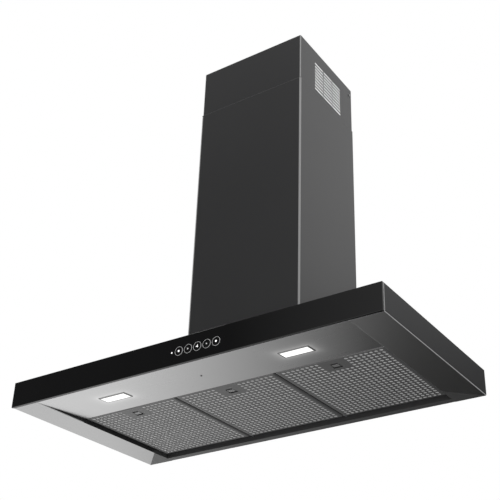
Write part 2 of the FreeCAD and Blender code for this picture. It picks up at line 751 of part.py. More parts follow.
def bolt_slot(label, middle, front, wall):
    """Cutter for the slot that a latch's bolt passes through in a wall."""
    half = BOLT_HALF + d.bolt_room
    return slab(label, (middle - half, middle + half), (front - OVER, front + wall + OVER),
                (BOLT_LOW - d.bolt_room, BOLT_LOW + d.bolt_thick + d.bolt_room))


def lamp_housing(name, side):
    """Lamp: bezel under the panel and the body above it."""
    gap = d.fit_gap
    bezel = lamp_slab(f"bezel_{name}", d.lamp_rim, (-d.lamp_flange, 0))
    bezel = rounded(f"bezel_round_{name}", bezel, d.lamp_round,
                    lambda middle, edge: near(middle.z, -d.lamp_flange))
    shell = lamp_slab(f"lamp_shell_{name}", d.lamp_ledge - gap, (0, d.lamp_height))
    seat = lamp_slab(f"lens_seat_{name}", gap,
                     (-d.lamp_flange - OVER, d.lens_thick - d.lamp_flange + gap))
    well = lamp_slab(f"lamp_well_{name}", -d.lamp_ledge,
                     (-d.lamp_flange, d.lamp_height - d.lamp_roof))
    body = join(f"lamp_blank_{name}", [bezel, shell])
    housing = cut(f"lamp_housing_{name}", body, [seat, well])
    panel_place(housing, side * d.lamp_spacing / 2, d.lamp_back)
    return housing


def lamp_lens(name, side):
    """Frosted lens, flush with its bezel."""
    plate = lamp_slab(f"lens_plate_{name}", 0, (-d.lamp_flange, d.lens_thick - d.lamp_flange))
    lens = gather(f"lamp_lens_{name}", [plate])
    panel_place(lens, side * d.lamp_spacing / 2, d.lamp_back)
    return lens


def panel_height():
    """Top of the lamp panel's sheet where the stay's screw passes."""
    return d.panel_rise * d.lamp_back / d.panel_depth + d.canopy_sheet


def panel_stay():
    """Bracket from the top plate down to the middle of the lamp panel."""
    wall = d.clip_sheet
    half = d.stay_width / 2
    back = PANEL_FRONT + d.lamp_back
    foot = panel_height() + d.stay_gap
    profile = [(back - half, foot), (back + half, foot), (back + half, foot + wall),
               (back - half + wall, foot + wall), (back - half + wall, CEILING - wall),
               (back + half, CEILING - wall), (back + half, CEILING), (back - half, CEILING)]
    stay = prism("stay_folds", "YZ", profile, -half, half)
    hole = bar("stay_hole", SCREW_SIDES, d.pin_screw, wall + OVER * 2, (0, back, foot - OVER))
    return cut("panel_stay", stay, [hole])


def panel_screw():
    """Screw that holds the lamp panel to its stay."""
    back = PANEL_FRONT + d.lamp_back
    seat = d.panel_rise * (d.lamp_back - d.pin_screw_head) / d.panel_depth
    head = bar("panel_screw_head", BARREL_SIDES, d.pin_screw_head, d.pin_head_thick,
               (0, back, seat - d.pin_head_thick))
    shank = bar("panel_screw_shank", SCREW_SIDES, d.pin_screw, d.pin_screw_length, (0, back, seat))
    return join("panel_screw", [head, shank])


# ---------------------------------------------------------------- controls

def button_x(number):
    """Place of a button along the row, counted from the middle one."""
    return d.button_middle + number * d.button_pitch


def housing_ends():
    """Left and right end of the control housing."""
    return (button_x(-2) - d.led_reach - d.housing_end, button_x(2) + d.housing_end)


def housing_levels():
    """Bottom and top of the control housing."""
    return (d.button_height - d.housing_height / 2, d.button_height + d.housing_height / 2)


def control_housing():
    """Plastic tray behind the steel front that carries the control board."""
    left, right = housing_ends()
    low, high = housing_levels()
    wall = d.housing_wall
    back = STEEL_BACK + d.board_back + d.board_thick + wall * 2
    block = slab("housing_block", (left, right), (STEEL_BACK, back), (low, high))
    hollow = slab("housing_hollow", (left + wall, right - wall), (STEEL_BACK - OVER, back - wall),
                  (low + wall, high - wall))
    return cut("control_housing", block, [hollow])


def control_board():
    """Control board with one switch behind each button."""
    left, right = housing_ends()
    low, high = housing_levels()
    inset = d.housing_wall
    front = STEEL_BACK + d.board_back
    pieces = [slab("board_plate", (left + inset, right - inset), (front, front + d.board_thick),
                   (low + inset, high - inset))]
    half = d.switch_side / 2
    for number in BUTTON_ROW:
        middle = button_x(number)
        pieces.append(slab("switch", (middle - half, middle + half), (front - d.switch_thick, front),
                           (d.button_height - half, d.button_height + half)))
    return join("control_board", pieces)


def button(number):
    """One push button: cap in its ring, snap ears behind the ring, stem reaching its switch."""
    label = f"button_{number + 3}"
    middle = button_x(number)
    face = GLASS_FRONT - d.button_proud
    cap = bar(label + "_cap", ROUND_SIDES, BUTTON_RADIUS, d.button_cap,
              (middle, face, d.button_height), "Y")
    reach = BUTTON_RADIUS + d.snap_reach
    ears_front = GLASS_BACK + d.hinge_clear
    ears = slab(label + "_ears", (middle - reach, middle + reach),
                (ears_front, ears_front + d.snap_thick),
                (d.button_height - d.snap_height / 2, d.button_height + d.snap_height / 2))
    half = d.stem_side / 2
    switch = STEEL_BACK + d.board_back - d.switch_thick
    stem = slab(label + "_stem", (middle - half, middle + half),
                (ears_front, switch - d.button_travel - d.hinge_clear),
                (d.button_height - half, d.button_height + half))
    return join(label, [cap, ears, stem])


def button_rings():
    """Thin metal rings set into the glass round the buttons."""
    rings = []
    for number in BUTTON_ROW:
        at = (button_x(number), GLASS_FRONT - d.ring_proud, d.button_height)
        rings.append(band("button_ring", ROUND_SIDES, d.ring_round, d.ring_round - d.ring_wall,
                          d.glass_thick + d.ring_proud, at, "Y"))
    return gather("button_rings", rings)


def indicator_led():
    """Light guide of the indicator, from the board to the face of the glass."""
    at = (button_x(-2) - d.led_reach, GLASS_FRONT - d.ring_proud / 2, d.button_height)
    return bar("indicator_led", BARREL_SIDES, d.led_round,
               STEEL_BACK + d.board_back - GLASS_FRONT + d.ring_proud / 2, at, "Y")


# ---------------------------------------------------------------- grease filters

def filter_tray():
    """Perforated tray of a filter: the face that shows, with its rolled edges turned up."""
    half = FILTER_WIDTH / 2
    wall = d.filter_sheet
    roll = d.filter_round
    block = slab("tray_block", (-half, half), (FILTER_FRONT, FILTER_REAR), (FILTER_LOW, FILTER_HIGH))
    block = rounded("tray_rolled", block, roll, lambda point, edge: near(point.z, FILTER_LOW))
    hollow = slab("tray_hollow", (wall - half, half - wall), (FILTER_FRONT + wall, FILTER_REAR - wall),
                  (FILTER_LOW + wall, FILTER_HIGH + OVER))
    hollow = rounded("tray_inside", hollow, roll - wall,
                     lambda point, edge: near(point.z, FILTER_LOW + wall))
    field = slab("tray_field", (roll - half, half - roll), (FILTER_FRONT + roll, FILTER_REAR - roll),
                 (FILTER_LOW - OVER, FILTER_HIGH))
    rim = cut("tray_rim", block, [hollow, field])
    narrow = d.window_narrow / 2
    wide = d.window_wide / 2
    window = prism("tray_window", "XY",
                   [(-narrow, WINDOW_FRONT), (narrow, WINDOW_FRONT), (wide, WINDOW_REAR),
                    (-wide, WINDOW_REAR)], FILTER_LOW - OVER, FILTER_LOW + wall + OVER)
    slot = bolt_slot("tray_bolt_slot", 0, FILTER_FRONT, wall)
    return cut("tray", join("tray_sheet", [rim, perforated_field()]), [slot, window])


def perforated_field():
    """Flat face of the tray, perforated all over except round the latch."""
    half = float(FILTER_WIDTH / 2 - d.filter_round)
    front = float(FILTER_FRONT + d.filter_round)
    rear = float(FILTER_REAR - d.filter_round)
    border = four_corners([(-half, front), (half, front), (half, rear), (-half, rear)])
    reach = float(d.hole_size) / 2
    inset = float(d.hole_edge)
    plain_side = float(d.latch_plate) / 2 + reach
    plain_rear = float(FILTER_FRONT + d.latch_field) + reach
    wires = [border]
    for x in hole_places(inset - half, half - inset):
        for y in hole_places(front + inset, rear - inset):
            if abs(x) > plain_side or y > plain_rear:
                wires.append(four_corners([(x - reach, y), (x, y - reach), (x + reach, y),
                                           (x, y + reach)]))
    face = Part.makeFace(wires, "Part::FaceMakerCheese")
    thing = doc.addObject("Part::Feature", "perforated_field")
    thing.Shape = face.extrude(VECTOR(0, 0, float(d.filter_sheet)))
    return thing


def four_corners(places):
    """Closed line through places at the level of the filters' underside."""
    corners = [VECTOR(x, y, float(FILTER_LOW)) for x, y in places]
    return Part.makePolygon(corners + corners[:1])


def hole_places(low, high):
    """Middles of as many holes as fit between two lengths, centred between them."""
    pitch = float(d.hole_pitch)
    steps = int((high - low) / pitch)
    start = (low + high - steps * pitch) / 2
    return [start + number * pitch for number in range(steps + 1)]


def filter_core():
    """Corrugated mesh layer between the tray and the back of a filter."""
    gap = d.fit_gap
    half = float(FILTER_WIDTH / 2 - d.filter_round - gap)
    low = float(LATCH_LOW + gap)
    high = float(FILTER_HIGH - d.filter_sheet - gap - d.core_thick)
    front = float(FILTER_FRONT + d.filter_sheet + gap)
    rear = float(FILTER_REAR - d.filter_sheet - gap)
    folds = 4 * round(half / float(d.core_wave))
    stride = 2 * half / folds
    under = []
    for fold in range(folds + 1):
        under.append(VECTOR(fold * stride - half, front, high if fold % 2 else low))
    over = [point + VECTOR(0, 0, float(d.core_thick)) for point in reversed(under)]
    face = Part.Face(Part.makePolygon(under + over + under[:1]))
    layer = doc.addObject("Part::Feature", "core_sheet")
    layer.Shape = face.extrude(VECTOR(0, rear - front, 0))
    room = d.guide_width / 2 + gap
    notch = slab("core_notch", (-room, room),
                 (FILTER_FRONT, FILTER_FRONT + d.filter_round + d.guide_depth + gap),
                 (FILTER_LOW, FILTER_HIGH))
    return cut("core", layer, [notch])


def filter_back():
    """Back sheet of a filter, with windows that leave the mesh open."""
    half = FILTER_WIDTH / 2 - d.filter_sheet - d.fit_gap
    front = FILTER_FRONT + d.filter_sheet + d.fit_gap
    rear = FILTER_REAR - d.filter_sheet - d.fit_gap
    low = FILTER_HIGH - d.filter_sheet
    plate = slab("back_plate", (-half, half), (front, rear), (low, FILTER_HIGH))
    bar_width = d.back_bar
    first = front + d.guide_depth + bar_width
    width = (half * 2 - bar_width * (d.back_columns + 1)) / d.back_columns
    depth = (rear - first - bar_width * d.back_rows) / d.back_rows
    windows = []
    for column in range(int(d.back_columns)):
        left = bar_width - half + (width + bar_width) * column
        for row in range(int(d.back_rows)):
            start = first + (depth + bar_width) * row
            windows.append(slab("back_window", (left, left + width), (start, start + depth),
                                (low - OVER, FILTER_HIGH + OVER)))
    return cut("back", plate, windows)


def filter_hooks():
    """Two straps on a filter's rear edge that curl over the hinge rod."""
    inner = d.hinge_round + d.hinge_clear
    outer = inner + d.hook_thick
    straps = []
    for side in (-1, 1):
        low = side * d.hook_spacing / 2 - d.hook_width / 2
        high = low + d.hook_width
        ring = pipe("hook_ring", outer, inner, d.hook_width, (low, HINGE_BACK, HINGE_HIGH), "X")
        opening = prism("hook_opening", "YZ",
                        [(HINGE_BACK, HINGE_HIGH), (HINGE_BACK + outer, HINGE_HIGH - outer),
                         (HINGE_BACK, HINGE_HIGH - outer * 2), (HINGE_BACK - outer * 2, HINGE_HIGH),
                         (HINGE_BACK - outer, HINGE_HIGH + outer * 2),
                         (HINGE_BACK, HINGE_HIGH + outer * 2)], low, high)
        strap = slab("hook_strap", (low, high), (FILTER_REAR - d.hook_seat, HINGE_BACK),
                     (HINGE_HIGH + inner, HINGE_HIGH + outer))
        straps.append(join("hook", [cut("hook_curl", ring, [opening]), strap]))
    return gather("hooks", straps)


def latch_guide():
    """Cup over the latch that guides its slider and keeps the mesh away from it."""
    half = d.guide_width / 2
    wall = d.filter_sheet
    front = FILTER_FRONT + d.filter_round
    rear = front + d.guide_depth
    high = FILTER_HIGH - wall
    block = slab("guide_block", (-half, half), (front, rear), (LATCH_LOW, high))
    hollow = slab("guide_hollow", (wall - half, half - wall), (front + wall, rear - wall),
                  (LATCH_LOW - OVER, high - wall))
    return cut("guide", block, [hollow, bolt_slot("guide_slot", 0, front, wall)])


def filter_latch():
    """Slider of a latch: bolt, plate and finger bar, stored drawn back."""
    grip = WINDOW_FRONT + (d.window_depth - d.grip_depth) / 2
    half = d.grip_width / 2
    high = BOLT_LOW + d.bolt_thick
    bolt = slab("bolt", (-BOLT_HALF, BOLT_HALF), (FILTER_FRONT, WINDOW_FRONT), (BOLT_LOW, high))
    plate = slab("slider", (-half, half), (WINDOW_FRONT - d.bolt_travel, grip + d.grip_depth),
                 (BOLT_LOW, high))
    narrow = d.window_narrow / 2 - d.hinge_clear * 2
    finger = slab("finger_bar", (-narrow, narrow), (grip, grip + d.grip_depth),
                  (FILTER_LOW, BOLT_LOW))
    return join("latch", [bolt, plate, finger])


def filters():
    """Every filter and its latch: each kind of piece is made once and placed for each filter."""
    kinds = {"filter_tray": filter_tray(), "filter_core": filter_core(),
             "filter_back": filter_back(), "filter_hooks": filter_hooks(),
             "latch_guide": latch_guide(), "filter_latch": filter_latch()}
    nodes = []
    for name, step in FILTER_NAMES.items():
        for kind, piece in kinds.items():
            nodes.append(placed(f"{kind}_{name}", piece, step * FILTER_PITCH))
    return nodes


def hinge_rod():
    """Rod behind the filters that their hooks hang on."""
    return drum("hinge_rod", d.hinge_round, RECESS_SIDE * 2, (-RECESS_SIDE, HINGE_BACK, HINGE_HIGH),
                "X")


def rod_brackets():
    """Plates from the rear strip's fold that carry the rod between the filters."""
    plates = []
    half = d.rod_bracket / 2
    reach = d.hinge_round * 2
    for side in (-1, 1):
        middle = side * FILTER_PITCH / 2
        plate = slab("bracket_plate", (middle - half, middle + half),
                     (HINGE_BACK - reach, -d.back_strip), (HINGE_HIGH - reach, HINGE_HIGH + reach))
        bore = bar("bracket_bore", BARREL_SIDES, corner_radius(d.hinge_round, BARREL_SIDES),
                   d.rod_bracket * 2, (middle - d.rod_bracket, HINGE_BACK, HINGE_HIGH), "X")
        plates.append(cut("rod_bracket", plate, [bore]))
    return gather("rod_brackets", plates)


# ---------------------------------------------------------------- blower

def blower_box():
    """Steel box over the canopy's inlet that holds the blower."""
    half = d.box_width / 2
    wall = d.box_sheet
    foot = d.box_foot
    outside = slab("box_block", (-half, half), (BOX_FRONT, BOX_BACK), (CANOPY_TOP, BOX_TOP))
    flange = slab("box_flange", (-half - foot, half + foot), (BOX_FRONT - foot, BOX_BACK + foot),
                  (CANOPY_TOP, CANOPY_TOP + wall))
    hollow = slab("box_hollow", (wall - half, half - wall), (BOX_FRONT + wall, BOX_BACK - wall),
                  (CANOPY_TOP - OVER, BOX_TOP - wall))
    outlet = bar("box_outlet", ROUND_SIDES, COLLAR_INSIDE, wall * 3,
                 (0, COLLAR_Y, BOX_TOP - wall * 2))
    return cut("blower_box", join("box_outside", [outside, flange]), [hollow, outlet])


def canopy_screws():
    """Screws that hold the blower box to the canopy and the lamp panel to its stay."""
    screws = [panel_screw()]
    across = d.box_width / 2 + d.box_foot / 2
    for side in (-1, 1):
        for place in (BOX_FRONT + d.inlet_margin * 3, BOX_BACK - d.inlet_margin * 3):
            screws.append(bar("box_screw_head", SCREW_SIDES, d.screw_head, d.head_thick,
                              (side * across, place, CANOPY_TOP + d.box_sheet)))
    return gather("canopy_screws", screws)


def scroll_wire(shift):
    """Outline of the scroll: three growing quarter turns and the neck, moved out by shift."""
    step = float(d.scroll_step)
    start = float(d.scroll_start)
    y = float(AXIS_Y)
    z = float(AXIS_Z)
    half_neck = float(d.scroll_neck)
    collar = float(COLLAR_Y)
    top = float(BOX_TOP - d.box_sheet)
    centres = [VECTOR(0, y + step / 2, z - step / 2), VECTOR(0, y - step / 2, z - step / 2),
               VECTOR(0, y - step / 2, z + step / 2)]
    corners = []
    for quarter, middle in enumerate(centres):
        radius = start + step * quarter + shift
        for part in range(min(quarter, 1), QUARTER_SIDES + 1):
            angle = math.radians(90 - 90 * quarter - 90 * part / QUARTER_SIDES)
            corners.append(middle + VECTOR(0, radius * math.cos(angle), radius * math.sin(angle)))
    corners.append(VECTOR(0, corners[-1].y, z + start))
    corners.append(VECTOR(0, collar - half_neck - shift, top))
    corners.append(VECTOR(0, collar + half_neck + shift, top))
    return Part.makePolygon(corners + corners[:1])


def scroll_half(name, side):
    """Half of the scroll housing, with the inlet in its side plate."""
    half = float(d.scroll_width) / 2
    wall = float(d.scroll_wall)
    outside = Part.Face(scroll_wire(wall)).extrude(VECTOR(side * half, 0, 0))
    inside = Part.Face(scroll_wire(0)).extrude(VECTOR(side * (half - wall), 0, 0))
    casing = doc.addObject("Part::Feature", f"scroll_casing_{name}")
    casing.Shape = outside.cut(inside)
    mouth = bar(f"scroll_mouth_{name}", ROUND_SIDES, d.inlet_round, d.scroll_wall * 3,
                (side * d.scroll_width / 2 - d.scroll_wall * 3 / 2, AXIS_Y, AXIS_Z), "X")
    return cut(f"scroll_{name}", casing, [mouth])


def motor():
    """Motor that reaches into the impeller through the right inlet."""
    start = d.hub_length / 2 + d.motor_gap
    end = start + d.motor_length
    can = bar("motor_can", ROUND_SIDES, d.motor_round, d.motor_length, (start, AXIS_Y, AXIS_Z), "X")
    can = bevelled("motor_bevelled", can, d.motor_chamfer,
                   lambda middle, edge: near(middle.x, end))
    bore = drum("motor_bore", d.shaft_round + d.shaft_clear, d.shaft_reach + OVER,
                (start - OVER, AXIS_Y, AXIS_Z), "X")
    return cut("motor", can, [bore])


def motor_bracket():
    """Band round the motor with three arms to the side of the scroll housing."""
    face = d.scroll_width / 2
    strap = band("motor_band", ROUND_SIDES, d.motor_round + d.arm_thick, d.motor_round, d.arm_width,
                 (face, AXIS_Y, AXIS_Z), "X")
    half = d.arm_width / 2
    arms = []
    for turn in (0, 120, 240):
        arm = slab("arm", (0, d.arm_thick), (-half, half),
                   (d.motor_round + d.arm_thick / 2, d.inlet_round + d.arm_foot))
        turned = gather("bracket_arm", [arm])
        turned.Placement = FreeCAD.Placement(VECTOR(), FreeCAD.Rotation(VECTOR(1, 0, 0), turn))
        put(turned, face, AXIS_Y, AXIS_Z)
        arms.append(turned)
    return join("motor_bracket", [strap] + arms)


def impeller():
    """Double inlet wheel: middle disc, hub, forward curved blades and two end rings."""
    half = d.wheel_width / 2
    inner = d.wheel_round - d.blade_chord
    disc = bar("wheel_disc", d.blade_count, d.wheel_round, d.disc_thick,
               (-d.disc_thick / 2, AXIS_Y, AXIS_Z), "X")
    hub = bar("wheel_hub", BARREL_SIDES, d.hub_round, d.hub_length,
              (-d.hub_length / 2, AXIS_Y, AXIS_Z), "X")
    rings = []
    for low in (-half, half - d.wheel_ring):
        rings.append(band("wheel_ring", d.blade_count, d.wheel_round, inner, d.wheel_ring,
                          (low, AXIS_Y, AXIS_Z), "X"))
    wheel = join("wheel_blank", [disc, hub, blade_ring()] + rings)
    bore = drum("wheel_bore", d.shaft_round, d.hub_length + OVER * 2,
                (-d.hub_length / 2 - OVER, AXIS_Y, AXIS_Z), "X")
    return cut("impeller", wheel, [bore])


def blade_ring():
    """All blades of the impeller, each a bent strip between the two end rings."""
    outer = float(d.wheel_round - d.blade_rim)
    inner = float(d.wheel_round - d.blade_chord + d.blade_rim)
    lead = math.radians(float(d.blade_lead))
    reach = float(d.wheel_width / 2 - d.wheel_ring)
    start = VECTOR(-reach, inner, 0)
    end = VECTOR(-reach, outer * math.cos(lead), outer * math.sin(lead))
    across = VECTOR(0, (end - start).z, -(end - start).y).normalize()
    middle = (start + end) * 0.5 + across * float(d.blade_curve)
    thick = across * float(d.blade_thick)
    corners = [start, middle, end, end + thick, middle + thick, start + thick]
    blade = Part.Face(Part.makePolygon(corners + corners[:1])).extrude(VECTOR(reach * 2, 0, 0))
    blades = []
    for number in range(int(d.blade_count)):
        copy = blade.copy()
        copy.rotate(VECTOR(), VECTOR(1, 0, 0), 360 * number / int(d.blade_count))
        copy.translate(VECTOR(0, float(AXIS_Y), float(AXIS_Z)))
        blades.append(copy)
    thing = doc.addObject("Part::Feature", "wheel_blades")
    thing.Shape = Part.makeCompound(blades)
    return thing


def motor_shaft():
    """Shaft that turns with the impeller and runs in the motor."""
    low = -d.hub_length / 2
    high = d.hub_length / 2 + d.motor_gap + d.shaft_reach
    return drum("motor_shaft", d.shaft_round, high - low, (low, AXIS_Y, AXIS_Z), "X")


def capacitor():
    """Motor capacitor with its two flat terminals, strapped to the left wall of the blower box."""
    x = d.box_sheet + d.cap_round - d.box_width / 2
    y = BOX_FRONT + d.box_depth / 4
    low = BOX_TOP - d.cap_drop
    top = low + d.cap_length
    pieces = [bar("capacitor_can", ROUND_SIDES, d.cap_round, d.cap_length, (x, y, low))]
    for side in (-1, 1):
        middle = x + side * d.terminal_spacing / 2
        pieces.append(slab("terminal", (middle - d.terminal_thick / 2, middle + d.terminal_thick / 2),
                           (y - d.terminal_width / 2, y + d.terminal_width / 2),
                           (top, top + d.terminal_height)))
    return join("capacitor", pieces)


def duct_collar():
    """Round collar on the blower box that the exhaust duct slides over."""
    flange = bar("collar_flange", BARREL_SIDES, d.collar_round + d.collar_flange, d.box_sheet,
                 (0, COLLAR_Y, BOX_TOP))
    tube = drum("collar_tube", d.collar_round, d.collar_height, (0, COLLAR_Y, BOX_TOP + d.box_sheet))
    bore = drum("collar_bore", COLLAR_INSIDE, d.collar_height + d.box_sheet + OVER * 2,
                (0, COLLAR_Y, BOX_TOP - OVER))
    shell = cut("collar_shell", join("collar_blank", [flange, tube]), [bore])
    half = block_half()
    wide = d.flap_pins / 2 + half
    blocks = []
    for side in (-1, 1):
        blocks.append(slab("pin_block", pair(side, COLLAR_INSIDE - d.pin_block, d.collar_round - OVER),
                           (COLLAR_Y - wide, COLLAR_Y + wide), (FLAP_Z - half, FLAP_Z + half)))
    holes = []
    for side in (-1, 1):
        holes.append(bar("collar_pin_hole", BARREL_SIDES, corner_radius(d.flap_pin, BARREL_SIDES),
                         (COLLAR_INSIDE - OVER) * 2,
                         (OVER - COLLAR_INSIDE, COLLAR_Y + side * d.flap_pins / 2, FLAP_Z), "X"))
    return cut("duct_collar", join("collar_body", [shell] + blocks), holes)


def block_half():
    """Height of a pin block above its pins."""
    return d.flap_pin * 2


def flap_pins():
    """Two pins across the collar that the backdraught flaps turn on."""
    half = COLLAR_INSIDE - OVER
    rods = []
    for side in (-1, 1):
        rods.append(drum("flap_pin", d.flap_pin, half * 2,
                         (-half, COLLAR_Y + side * d.flap_pins / 2, FLAP_Z), "X"))
    return gather("flap_pins", rods)


def damper_flap(name, side):
    """Half round flap with a barrel that runs on its pin, cut back round the pin blocks."""
    radius = COLLAR_INSIDE - d.flap_gap
    hinge = COLLAR_Y + side * d.flap_pins / 2
    low = FLAP_Z - d.flap_thick / 2
    levels = (low - OVER, low + d.flap_thick + OVER)
    disc = bar(f"flap_disc_{name}", ROUND_SIDES * 2, radius, d.flap_thick, (0, COLLAR_Y, low))
    reach = d.collar_round * 2
    away = (COLLAR_Y - reach, hinge) if side > 0 else (hinge, COLLAR_Y + reach)
    tools = [slab(f"flap_other_half_{name}", (-reach, reach), away, levels)]
    end = COLLAR_INSIDE - d.pin_block - d.flap_gap
    room = block_half() * math.sqrt(2) + d.flap_gap
    beside = (hinge, hinge + room) if side > 0 else (hinge - room, hinge)
    for edge in (-1, 1):
        tools.append(slab(f"flap_notch_{name}", pair(edge, end, reach), beside, levels))
    leaf = cut(f"flap_leaf_{name}", disc, tools)
    barrel = bar(f"flap_barrel_{name}", BARREL_SIDES, d.flap_pin + d.hinge_clear + d.flap_thick,
                 end * 2, (-end, hinge, FLAP_Z), "X")
    bore = drum(f"flap_bore_{name}", d.flap_pin + d.hinge_clear, reach * 2, (-reach, hinge, FLAP_Z),
                "X")
    return cut(f"damper_flap_{name}", join(f"flap_blank_{name}", [leaf, barrel]), [bore])


def electronics_box():
    """Closed box on the blower box for the speed control and the mains terminals."""
    x, y = electronics_sides()
    wall = d.elec_wall
    block = slab("elec_block", x, y, (BOX_TOP, BOX_TOP + d.elec_height))
    hollow = slab("elec_hollow", (x[0] + wall, x[1] - wall), (y[0] + wall, y[1] - wall),
                  (BOX_TOP + wall, BOX_TOP + d.elec_height + OVER))
    return cut("electronics_box", block, [hollow])


def electronics_sides():
    """Left and right, front and rear of the electronics box."""
    left = d.elec_wall - d.box_width / 2
    back = BOX_BACK - d.elec_wall
    return (left, left + d.elec_length), (back - d.elec_width, back)


def electronics_lid():
    """Lid of the electronics box, with the hole for the gland."""
    x, y = electronics_sides()
    low = BOX_TOP + d.elec_height
    lid = slab("lid_plate", x, y, (low, low + d.elec_wall))
    hole = drum("lid_hole", d.gland_bore, d.elec_wall + OVER * 2, gland_place(low - OVER))
    return cut("electronics_lid", lid, [hole])


def gland_place(level):
    """Middle of the gland at a level."""
    x, y = electronics_sides()
    return ((x[0] + x[1]) / 2, (y[0] + y[1]) / 2, level)


def cable_gland():
    """Gland for the mains lead on the lid of the electronics box."""
    low = BOX_TOP + d.elec_height + d.elec_wall
    nut = bar("gland_nut", SCREW_SIDES, d.gland_round, d.gland_length / 2, gland_place(low))
    neck = bar("gland_neck", BARREL_SIDES, d.gland_neck, d.gland_length, gland_place(low))
    bore = drum("gland_hole", d.gland_bore, d.gland_length + OVER * 2, gland_place(low - OVER))
    return cut("cable_gland", join("gland_blank", [nut, neck]), [bore])


# ---------------------------------------------------------------- chimney

def lower_cover():
    """Lower chimney cover, standing on the canopy."""
    return folded_cover("lower_chimney_cover", CHIMNEY_HALF, -d.chimney_depth, 0, CANOPY_TOP,
                        LOWER_TOP, d.cover_return)


def upper_cover():
    """Upper chimney cover: slides inside the lower one and has air slots in both sides."""
    folds = folded_cover("upper_folds", UPPER_HALF, UPPER_FRONT, UPPER_BACK, UPPER_LOW,
                         d.total_height, d.cover_return - d.cover_sheet - d.cover_clear)
    slots = []
    for row in range(int(d.vent_rows)):
        high = d.total_height - d.vent_top - row * d.vent_pitch
        for column in range(int(d.vent_columns)):
            front = UPPER_FRONT + d.vent_front + column * (d.vent_length + d.vent_bridge)
            slots.append(slab("vent_slot", (-CHIMNEY_HALF, CHIMNEY_HALF),
                              (front, front + d.vent_length), (high - d.vent_height, high)))
    middle = ear_screw_height()
    slot_half = d.screw_round + d.fit_gap
    slots.append(slab("ear_screw_slot", (-CHIMNEY_HALF, CHIMNEY_HALF),
                      (-d.ear_screw - slot_half, -d.ear_screw + slot_half),
                      (middle - d.screw_slot / 2, middle + d.screw_slot / 2)))
    return cut("upper_chimney_cover", folds, slots)


def ear_screw_height():
    """Level of the screws that hold the upper cover to its wall bracket."""
    return d.total_height - d.bracket_drop - d.bracket_height / 2


def upper_bracket():
    """Two brackets on the wall whose ears hold the top of the upper cover."""
    wall = d.clip_sheet
    low = d.total_height - d.bracket_drop - d.bracket_height
    high = d.total_height - d.bracket_drop
    edge = CHIMNEY_HALF - d.cover_return - d.cover_clear
    ear = UPPER_HALF - d.cover_sheet
    step = UPPER_BACK - d.cover_sheet - d.cover_clear
    brackets = []
    for side in (-1, 1):
        pad = edge - d.bracket_pad
        profile = [(pad, 0), (edge, 0), (edge, step), (ear, step), (ear, -d.bracket_ear),
                   (ear - wall, -d.bracket_ear), (ear - wall, step - wall),
                   (edge - wall, step - wall), (edge - wall, -wall), (pad, -wall)]
        folds = prism("bracket_folds", "XY", [(side * x, y) for x, y in profile], low, high)
        hole = drum("bracket_wall_hole", d.bracket_hole, wall + OVER * 2,
                    (side * (edge - d.bracket_pad / 2), -wall - OVER, (low + high) / 2), "Y")
        brackets.append(cut("wall_bracket", folds, [hole, ear_screw_bar("bracket_ear_hole", side)]))
    return gather("upper_wall_bracket", brackets)


def ear_screw_bar(label, side):
    """Shank of an ear screw, from the cover's outer face inwards."""
    low = pair(side, UPPER_HALF - d.screw_reach, UPPER_HALF)[0]
    return bar(label, SCREW_SIDES, d.screw_round, d.screw_reach,
               (low, -d.ear_screw, ear_screw_height()), "X")


def ear_screws():
    """Screws through the upper cover's slots into the bracket's ears."""
    screws = []
    for side in (-1, 1):
        low = pair(side, UPPER_HALF, UPPER_HALF + d.head_thick)[0]
        head = bar("ear_screw_head", SCREW_SIDES, d.screw_head, d.head_thick,
                   (low, -d.ear_screw, ear_screw_height()), "X")
        screws.append(join("ear_screw", [head, ear_screw_bar("ear_screw_shank", side)]))
    return gather("ear_screws", screws)


def cover_clips():
    """Angle clips on the canopy that hold the foot of the lower cover."""
    clips = []
    wall = d.clip_sheet
    inside = CHIMNEY_HALF - d.cover_sheet
    middle = -d.chimney_depth / 2
    half = d.clip_side / 2
    leg = CHIMNEY_HALF - d.cover_sheet - d.box_width / 2 - d.box_foot - d.fit_gap
    for side in (-1, 1):
        profile = [(side * inside, CANOPY_TOP), (side * inside, CANOPY_TOP + d.clip_side),
                   (side * (inside - wall), CANOPY_TOP + d.clip_side),
                   (side * (inside - wall), CANOPY_TOP + wall),
                   (side * (inside - leg), CANOPY_TOP + wall), (side * (inside - leg), CANOPY_TOP)]
        clips.append(prism("cover_clip", "XZ", profile, middle - half, middle + half))
    return gather("cover_clips", clips)


# ---------------------------------------------------------------- assembly

def build():
    """Make every piece of the hood and give the list of nodes."""
    nodes = [canopy_shell(), back_rail(), front_glass(), glass_tape(),
             lamp_panel(), panel_stay(), control_housing(), control_board(),
             button_rings(), indicator_led(), hinge_rod(), rod_brackets(), blower_box(),
             canopy_screws(), motor(), motor_bracket(), impeller(), motor_shaft(), capacitor(),
             duct_collar(), flap_pins(), electronics_box(), electronics_lid(), cable_gland(),
             lower_cover(), cover_clips(), upper_cover(), upper_bracket(), ear_screws()]
    for name, side in (("left", -1), ("right", 1)):
        nodes.append(lamp_housing(name, side))
        nodes.append(lamp_lens(name, side))
        nodes.append(scroll_half(name, side))
    for name, side in (("front", -1), ("rear", 1)):
        nodes.append(damper_flap(name, side))
    nodes.extend(button(number) for number in BUTTON_ROW)
    nodes.extend(filters())
    doc.recompute()
    return nodes


def check(nodes):
    """Stop if any object failed or any node is empty or unsound."""
    for thing in doc.Objects:
        if "Invalid" in thing.State or "Error" in thing.State:
            raise RuntimeError(f"{thing.Label} failed: {thing.State}")
    for node in nodes:
        shape = node.Shape
        if shape.isNull() or not shape.isValid() or not shape.Solids:
            raise RuntimeError(f"{node.Label} has no sound solid")


